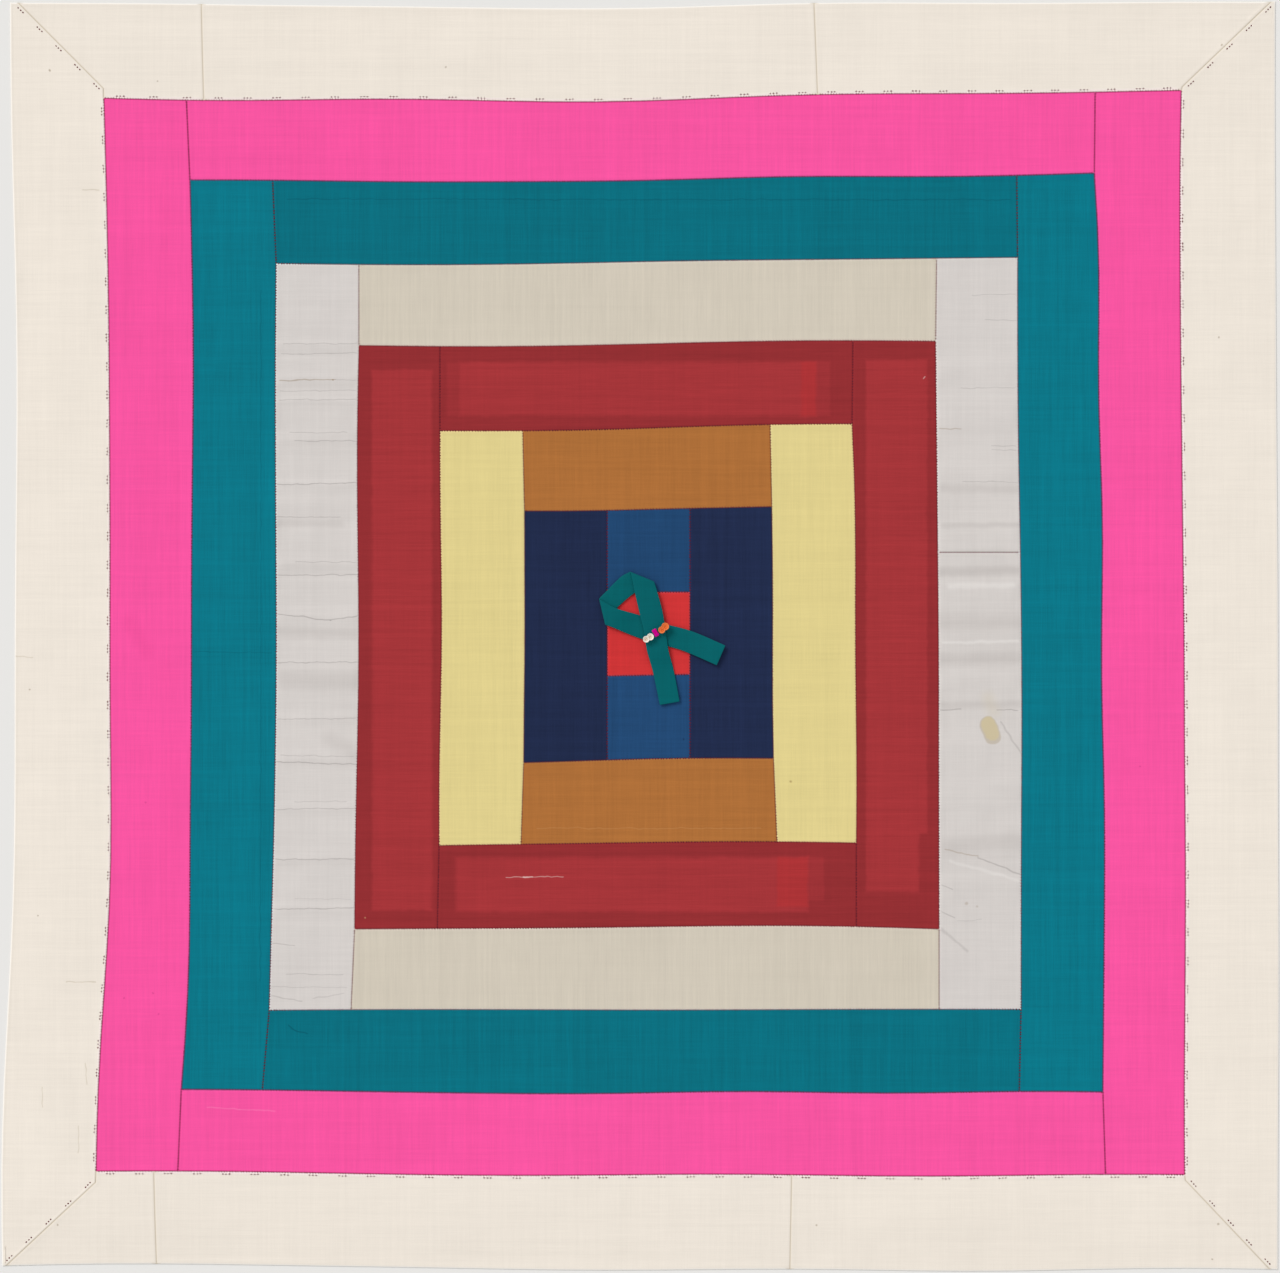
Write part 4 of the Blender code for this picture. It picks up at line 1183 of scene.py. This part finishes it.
def spline(points, index, share):
    """Catmull-Rom point between two of a row of points."""
    before = points[max(index - 1, 0)]
    start, end = points[index], points[index + 1]
    after = points[min(index + 2, len(points) - 1)]
    pull_start, pull_end = (end - before) / 2, (after - start) / 2
    square, cube = share ** 2, share ** 3
    return (start * (2 * cube - 3 * square + 1) + pull_start * (cube - 2 * square + share)
            + end * (3 * square - 2 * cube) + pull_end * (cube - square))


def drawn_back(rungs, at_start):
    """Move a stretch's fold rung back from the crease, to where the ribbon starts to turn."""
    fold, neighbour = (rungs[0], rungs[1]) if at_start else (rungs[-1], rungs[-2])
    edge_a, edge_b = Vector(fold.edge_a), Vector(fold.edge_b)
    inward = (edge_b - edge_a).orthogonal().normalized()
    middle = (Vector(neighbour.edge_a) + Vector(neighbour.edge_b) - edge_a - edge_b) / 2
    if inward.dot(middle) < 0:
        inward.negate()
    depth = layer_height(0.5) - layer_height(0) + MODEL_RIBBON / 2
    moved = []
    for corner, beyond in ((edge_a, neighbour.edge_a), (edge_b, neighbour.edge_b)):
        run = Vector(beyond) - corner
        moved.append(corner + run * (depth / run.dot(inward)))
    rung = Rung(moved[0], moved[1], fold.layer, fold.lift)
    return ((rung,) + rungs[1:] if at_start else rungs[:-1] + (rung,)), -inward


def stretch_lines(rungs):
    """Cross lines of one flat stretch of the ribbon, as pairs of points."""
    edges_a = [Vector(rung.edge_a) for rung in rungs]
    edges_b = [Vector(rung.edge_b) for rung in rungs]
    heights = [layer_height(rung.layer, rung.lift) for rung in rungs]
    lines = []
    for index in range(len(rungs) - 1):
        for step in range(RIBBON_STEPS + (index == len(rungs) - 2)):
            share = step / RIBBON_STEPS
            ease = share * share * (3 - 2 * share)
            height = heights[index] + (heights[index + 1] - heights[index]) * ease
            lines.append([Vector((*spline(edges, index, share), height))
                          for edges in (edges_a, edges_b)])
    return lines


def fold_lines(before, after, outward):
    """Cross lines of the half turn that joins one stretch to the next at a fold."""
    radius = abs(after[0].z - before[0].z) / 2
    lines = []
    for step in range(1, FOLD_STEPS):
        angle = math.pi * step / FOLD_STEPS
        line = []
        for start, end in zip(before, after):
            point = start.lerp(end, step / FOLD_STEPS)
            point.z = (start.z + end.z) / 2 + (start.z - end.z) / 2 * math.cos(angle)
            line.append(point + outward.to_3d() * (radius * math.sin(angle)))
        lines.append(line)
    return lines


def ribbon_lines():
    """All cross lines of the tie, from its right tail to its lower tail."""
    right_tail, outward_one = drawn_back(RIGHT_TAIL, at_start=False)
    loop_back, _ = drawn_back(LOOP_BACK, at_start=True)
    loop_back, outward_two = drawn_back(loop_back, at_start=False)
    lower_tail, _ = drawn_back(LOWER_TAIL, at_start=True)
    first, second, third = (stretch_lines(rungs) for rungs in (right_tail, loop_back, lower_tail))
    return (first + fold_lines(first[-1], second[0], outward_one)
            + second + fold_lines(second[-1], third[0], outward_two) + third)


def lay_ribbon(settings):
    """The folded ribbon of the tie, with soft round edges."""
    lines = ribbon_lines()
    points = []
    for row, (edge_a, edge_b) in enumerate(lines):
        for column in range(RIBBON_COLUMNS + 1):
            share = column / RIBBON_COLUMNS
            point = edge_a.lerp(edge_b, share)
            crown = 0.12 * (1.0 - (2.0 * share - 1.0) ** 4)
            point.z += crown + 0.05 * noise.noise(Vector((point.x, point.y, row * 0.1)) / 4.0)
            points.append(point * MM)
    wide = RIBBON_COLUMNS + 1
    faces = [(row * wide + column, row * wide + column + 1,
              (row + 1) * wide + column + 1, (row + 1) * wide + column)
             for row in range(len(lines) - 1) for column in range(RIBBON_COLUMNS)]
    mesh = bpy.data.meshes.new("silk_tie_ribbon")
    mesh.from_pydata(points, [], faces)
    piece = bpy.data.objects.new("silk_tie_ribbon", mesh)
    bpy.context.scene.collection.objects.link(piece)
    wall = piece.modifiers.new("Silk", "SOLIDIFY")
    wall.thickness = settings.tie.thickness
    wall.offset = 0.0
    edges = piece.modifiers.new("Turned edges", "BEVEL")
    edges.width = settings.tie.thickness * 0.4
    edges.segments = 3
    edges.limit_method = "ANGLE"
    edges.angle_limit = math.radians(50.0)
    activate(piece)
    for modifier in (wall.name, edges.name):
        bpy.ops.object.modifier_apply(modifier=modifier)
    bpy.ops.object.shade_smooth_by_angle(angle=math.radians(60.0))
    silk = silk_material("silk_tie_ribbon", "ribbon", tuple(settings.colours.ribbon),
                         settings.cloth.weave / MM, seams=False)
    finish_piece(piece, "ribbon", silk, "tie_ribbon")


def knot_seat():
    """Height of the tie's upper face, where the knots stand."""
    return layer_height(1) + MODEL_RIBBON / 2 + LAYER_GAP


def standing_roll(roll):
    """A roll of silk on end: a round wall whose top is pressed in round the roll's core."""
    deselect_all()
    bpy.ops.mesh.primitive_cylinder_add(
        vertices=ROLL_SIDES, radius=roll.radius * MM, depth=ROLL_HEIGHT * MM, end_fill_type="NGON",
        location=(roll.x * MM, roll.y * MM, (knot_seat() + ROLL_HEIGHT / 2) * MM))
    piece = bpy.context.object
    bpy.ops.object.transform_apply(location=True, rotation=True, scale=True)
    top = (knot_seat() + ROLL_HEIGHT) * MM
    select_parts(piece, "polygons",
                 [face.normal.z > 0.9 and abs(face.center.z - top) < 0.01 * MM
                  for face in piece.data.polygons])
    bpy.ops.object.mode_set(mode="EDIT")
    for width, drop in ((0.22, 0.0), (0.25, -0.1), (0.22, -0.55), (0.25, -0.05), (0.2, 0.3),
                        (0.2, 0.02), (0.2, -0.35)):
        bpy.ops.mesh.inset(thickness=width * MM, depth=0.0)
        bpy.ops.transform.translate(value=(0.0, 0.0, drop * MM))
    bpy.ops.object.mode_set(mode="OBJECT")
    return piece


def lying_roll(shift):
    """A roll of silk that lies down, drawn in at its waist."""
    deselect_all()
    turn = Matrix.Rotation(BOW_TURN, 3, "Z")
    middle = Vector((*BOW_MIDDLE, knot_seat() + BOW_RADIUS)) + turn @ Vector((shift, 0.0, 0.0))
    bpy.ops.mesh.primitive_cylinder_add(
        vertices=ROLL_SIDES, radius=BOW_RADIUS * MM, depth=BOW_LENGTH * MM,
        end_fill_type="NGON", location=middle * MM, rotation=(math.pi / 2, 0.0, BOW_TURN))
    piece = bpy.context.object
    bpy.ops.object.transform_apply(location=True, rotation=True, scale=True)
    axis = turn @ Vector((0.0, 1.0, 0.0))
    for share in (-0.34, -0.17, 0.0, 0.17, 0.34):
        edit(piece, lambda share=share: bpy.ops.mesh.bisect(
            plane_co=(middle + axis * share * BOW_LENGTH) * MM, plane_no=axis))
    for vert in piece.data.vertices:
        offset = vert.co / MM - middle
        run = offset.dot(axis) / (BOW_LENGTH / 2)
        draw_in = 1.0 - 0.26 * math.exp(-(run / 0.45) ** 2) - 0.18 * max(abs(run) - 0.7, 0.0) / 0.3
        radial = offset - axis * offset.dot(axis)
        vert.co = (middle + axis * offset.dot(axis) + radial * draw_in) * MM
    return piece


def finish_knot(name, slot, pieces, settings, marks):
    """Join a knot's rolls, round them and give them their silk."""
    activate(pieces[0])
    for piece in pieces:
        piece.select_set(True)
    bpy.ops.object.join()
    knot = bpy.context.object
    knot.name = name
    knot.data.name = name
    round_off = knot.modifiers.new("Soft", "SUBSURF")
    round_off.levels = 2
    round_off.render_levels = 2
    bpy.ops.object.modifier_apply(modifier=round_off.name)
    for vert in knot.data.vertices:
        ripple = noise.noise(vert.co / MM * 1.3)
        vert.co += vert.normal * ripple * 0.07 * MM
    bpy.ops.object.shade_smooth()
    silk = silk_material(name, slot, tuple(getattr(settings.colours, slot)),
                         settings.cloth.weave / MM, marks, seams=False)
    finish_piece(knot, slot, silk, name.replace("silk_", ""))


# Operators

class StripOperator:
    """What the operators that lay strips share"""
    bl_options = {"REGISTER"}
    slots = ()

    def execute(self, context):
        for slot in self.slots:
            for name in STRIPS[slot]:
                lay_strip(name, context.scene.wrapping_cloth)
        return {"FINISHED"}


class WRAPPING_OT_cream_border(StripOperator, Operator):
    """Lay the cream border, with its mitred corners"""
    bl_idname = "wrapping_cloth.cream_border"
    bl_label = "Cream border"
    slots = ("cream",)


class WRAPPING_OT_pink_strips(StripOperator, Operator):
    """Lay the four pink strips"""
    bl_idname = "wrapping_cloth.pink_strips"
    bl_label = "Pink strips"
    slots = ("pink",)


class WRAPPING_OT_teal_strips(StripOperator, Operator):
    """Lay the four teal strips"""
    bl_idname = "wrapping_cloth.teal_strips"
    bl_label = "Teal strips"
    slots = ("teal",)


class WRAPPING_OT_satin_strips(StripOperator, Operator):
    """Lay the grey satin strips and the beige ones between them"""
    bl_idname = "wrapping_cloth.satin_strips"
    bl_label = "Grey and beige strips"
    slots = ("grey", "beige")


class WRAPPING_OT_crimson_strips(StripOperator, Operator):
    """Lay the four strips of sheer crimson silk"""
    bl_idname = "wrapping_cloth.crimson_strips"
    bl_label = "Crimson strips"
    slots = ("crimson",)


class WRAPPING_OT_yellow_strips(StripOperator, Operator):
    """Lay the yellow strips and the ochre ones between them"""
    bl_idname = "wrapping_cloth.yellow_strips"
    bl_label = "Yellow and ochre strips"
    slots = ("yellow", "ochre")


class WRAPPING_OT_centre_block(StripOperator, Operator):
    """Lay the navy strips, the blue patches and the red square"""
    bl_idname = "wrapping_cloth.centre_block"
    bl_label = "Centre block"
    slots = ("navy", "blue", "red")


SEAM_GROUPS = {
    "stitches_pink_seams": (("cream", "pink"), ("pink", "pink"), ("pink", "teal")),
    "stitches_teal_seams": (("teal", "teal"), ("teal", "grey"), ("teal", "beige"),
                            ("grey", "grey"), ("grey", "beige")),
    "stitches_crimson_seams": (("grey", "crimson"), ("beige", "crimson"), ("crimson", "crimson"),
                               ("crimson", "yellow"), ("crimson", "ochre")),
    "stitches_centre_seams": (("yellow", "ochre"), ("yellow", "navy"), ("ochre", "navy"),
                              ("ochre", "blue"), ("navy", "blue"), ("navy", "red"),
                              ("blue", "red")),
}


class WRAPPING_OT_whip_stitches(Operator):
    """Sew every seam between two strips with slanting whip stitches"""
    bl_idname = "wrapping_cloth.whip_stitches"
    bl_label = "Whip stitches"
    bl_options = {"REGISTER"}

    def execute(self, context):
        settings = context.scene.wrapping_cloth
        draw = random.Random(7)
        thread = thread_material(settings)
        names = list(SLOT_OF)
        for piece_name, pairs in SEAM_GROUPS.items():
            rows = []
            for index, name in enumerate(names):
                beyond = {other for other in names[index + 1:]
                          if (SLOT_OF[name], SLOT_OF[other]) in pairs}
                if beyond:
                    rows += whip_stitches(name, beyond, settings, draw)
            if not rows:
                raise RuntimeError(f"no seam was found for {piece_name}")
            sew(piece_name, rows, thread)
        return {"FINISHED"}


class WRAPPING_OT_border_stitches(Operator):
    """Sew the groups of three tiny stitches on the cream border and along its mitres"""
    bl_idname = "wrapping_cloth.border_stitches"
    bl_label = "Border stitches"
    bl_options = {"REGISTER"}

    def execute(self, context):
        settings = context.scene.wrapping_cloth
        stitch = settings.stitch
        draw = random.Random(11)
        rows = []
        for name in STRIPS["cream"]:
            pitch = stitch.group_pitch / MM
            for run in seam_runs(name, lambda other: SLOT_OF.get(other) == "pink"):
                length = run_length(run)
                count = max(1, round(length / pitch))
                places = [(index + 0.5) * length / count + draw.uniform(-0.3, 0.3)
                          for index in range(count)]
                for spot, direction in along_run(run, places):
                    inward = turned(direction, math.pi / 2)
                    middle = spot + inward * stitch.dash_offset / MM
                    rows += dash_group(middle, direction, name, settings, draw)
        for name in ("cream_left", "cream_right"):
            for run in seam_runs(name, lambda other: SLOT_OF.get(other) == "cream"):
                starts_inside = np.linalg.norm(run[0]) < np.linalg.norm(run[-1])
                side = -1.0 if starts_inside else 1.0
                if starts_inside:
                    run = run[::-1]
                places = [(stitch.mitre_start + index * stitch.mitre_pitch) / MM
                          for index in range(stitch.mitre_groups)]
                for spot, direction in along_run(run, places):
                    inward = turned(direction, side * math.pi / 2)
                    middle = spot + inward * stitch.mitre_offset / MM
                    rows += dash_group(middle, direction, name, settings, draw)
        if not rows:
            raise RuntimeError("no border seam was found")
        sew("stitches_border_groups", rows, thread_material(settings))
        return {"FINISHED"}


class WRAPPING_OT_tie_ribbon(Operator):
    """Lay the folded ribbon of the tie"""
    bl_idname = "wrapping_cloth.tie_ribbon"
    bl_label = "Ribbon tie"
    bl_options = {"REGISTER"}

    def execute(self, context):
        lay_ribbon(context.scene.wrapping_cloth)
        return {"FINISHED"}


class WRAPPING_OT_knots(Operator):
    """Set the white, magenta and orange knots on the tie"""
    bl_idname = "wrapping_cloth.knots"
    bl_label = "Knots"
    bl_options = {"REGISTER"}

    def execute(self, context):
        settings = context.scene.wrapping_cloth
        # The inner and core colours are painted shade in each standing roll's pressed-in top, darkest at
        # its core
        for slot, rolls, inner, core in (
                ("white", WHITE_ROLLS, (222, 208, 186), (186, 164, 146)),
                ("orange", ORANGE_ROLLS, (226, 120, 62), (196, 84, 30))):
            marks = []
            for roll in rolls:
                # Painted shade in the roll's hollow top, deeper at its core
                marks.append(Mark(roll.x, roll.y, roll.x + 0.01, roll.y, 1.45, 0.4, inner, 0.8))
                marks.append(Mark(roll.x - 0.4, roll.y - 0.3, roll.x + 0.2, roll.y + 0.2, 0.6,
                                  0.6, core, 0.7))
            pieces = [standing_roll(roll) for roll in rolls]
            finish_knot(f"silk_knot_{slot}", slot, pieces, settings, marks)
        pieces = [lying_roll(shift) for shift in (-BOW_SPREAD, BOW_SPREAD)]
        finish_knot("silk_knot_magenta", "magenta", pieces, settings, ())
        return {"FINISHED"}


class WRAPPING_OT_stage(Operator):
    """Put in the pale floor, the soft lights and the camera that looks straight down"""
    bl_idname = "wrapping_cloth.stage"
    bl_label = "Stage"
    bl_options = {"REGISTER"}

    def execute(self, context):
        scene = context.scene
        stage = scene.wrapping_cloth.stage
        deselect_all()
        bpy.ops.mesh.primitive_plane_add(size=8.0, location=(0.0, 0.0, -0.15 * MM))
        floor = context.object
        floor.name = "floor"
        paper = bpy.data.materials.new("pale_floor")
        paper.use_nodes = True
        shader = paper.node_tree.nodes["Principled BSDF"]
        shader.inputs["Base Color"].default_value = (*stage.floor, 1.0)
        shader.inputs["Roughness"].default_value = 0.9
        shader.inputs["Specular IOR Level"].default_value = 0.1
        floor.data.materials.append(paper)
        floor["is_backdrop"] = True

        world = bpy.data.worlds.new("studio")
        world.use_nodes = True
        background = world.node_tree.nodes["Background"]
        background.inputs["Color"].default_value = (1.0, 1.0, 1.0, 1.0)
        background.inputs["Strength"].default_value = stage.fill
        scene.world = world
        key = bpy.data.lights.new("soft_key", "SUN")
        key.energy = stage.key
        key.angle = math.radians(28.0)
        lamp = bpy.data.objects.new("soft_key", key)
        lamp.rotation_euler = Vector((0.62, -0.62, -0.75)).to_track_quat("-Z", "Y").to_euler()
        scene.collection.objects.link(lamp)

        lens = bpy.data.cameras.new("camera")
        lens.lens = stage.lens
        lens.sensor_width = 36.0
        distance = stage.frame_width * stage.lens / lens.sensor_width
        lens.clip_start = 0.1
        lens.clip_end = 20.0
        camera = bpy.data.objects.new("camera", lens)
        camera.location = (0.0, -stage.frame_drop, distance + CLOTH_TOP * MM)
        scene.collection.objects.link(camera)
        scene.camera = camera
        scene.view_settings.view_transform = "Standard"
        return {"FINISHED"}


class WRAPPING_PT_cloth(Panel):
    """The cloth's pieces, in the order in which they are laid"""
    bl_idname = "WRAPPING_PT_cloth"
    bl_label = "Wrapping cloth"
    bl_space_type = "VIEW_3D"
    bl_region_type = "UI"
    bl_category = "Wrapping cloth"

    def draw(self, context):
        settings = context.scene.wrapping_cloth
        for group_name in settings.bl_rna.properties.keys():
            group = getattr(settings, group_name, None)
            if not isinstance(group, PropertyGroup):
                continue
            box = self.layout.box()
            box.label(text=group_name.capitalize())
            for name in group.bl_rna.properties.keys():
                if name not in ("rna_type", "name"):
                    box.prop(group, name)
        column = self.layout.column()
        for operator in PIECES:
            column.operator(operator.bl_idname)


PIECES = (
    WRAPPING_OT_cream_border, WRAPPING_OT_pink_strips, WRAPPING_OT_teal_strips,
    WRAPPING_OT_satin_strips, WRAPPING_OT_crimson_strips, WRAPPING_OT_yellow_strips,
    WRAPPING_OT_centre_block, WRAPPING_OT_whip_stitches, WRAPPING_OT_border_stitches,
    WRAPPING_OT_tie_ribbon, WRAPPING_OT_knots, WRAPPING_OT_stage,
)
CLASSES = (SilkColours, ClothSettings, StitchSettings, TieSettings, StageSettings,
           WrappingClothSettings, *PIECES, WRAPPING_PT_cloth)


def register():
    """Register the settings, the operators and the panel."""
    for kind in CLASSES:
        bpy.utils.register_class(kind)
    bpy.types.Scene.wrapping_cloth = PointerProperty(type=WrappingClothSettings)


def unregister():
    """Take them out again."""
    del bpy.types.Scene.wrapping_cloth
    for kind in reversed(CLASSES):
        bpy.utils.unregister_class(kind)


def main():
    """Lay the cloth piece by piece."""
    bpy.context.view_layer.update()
    register()
    for operator in PIECES:
        group, name = operator.bl_idname.split(".")
        getattr(getattr(bpy.ops, group), name)()


if __name__ == "__main__":
    main()
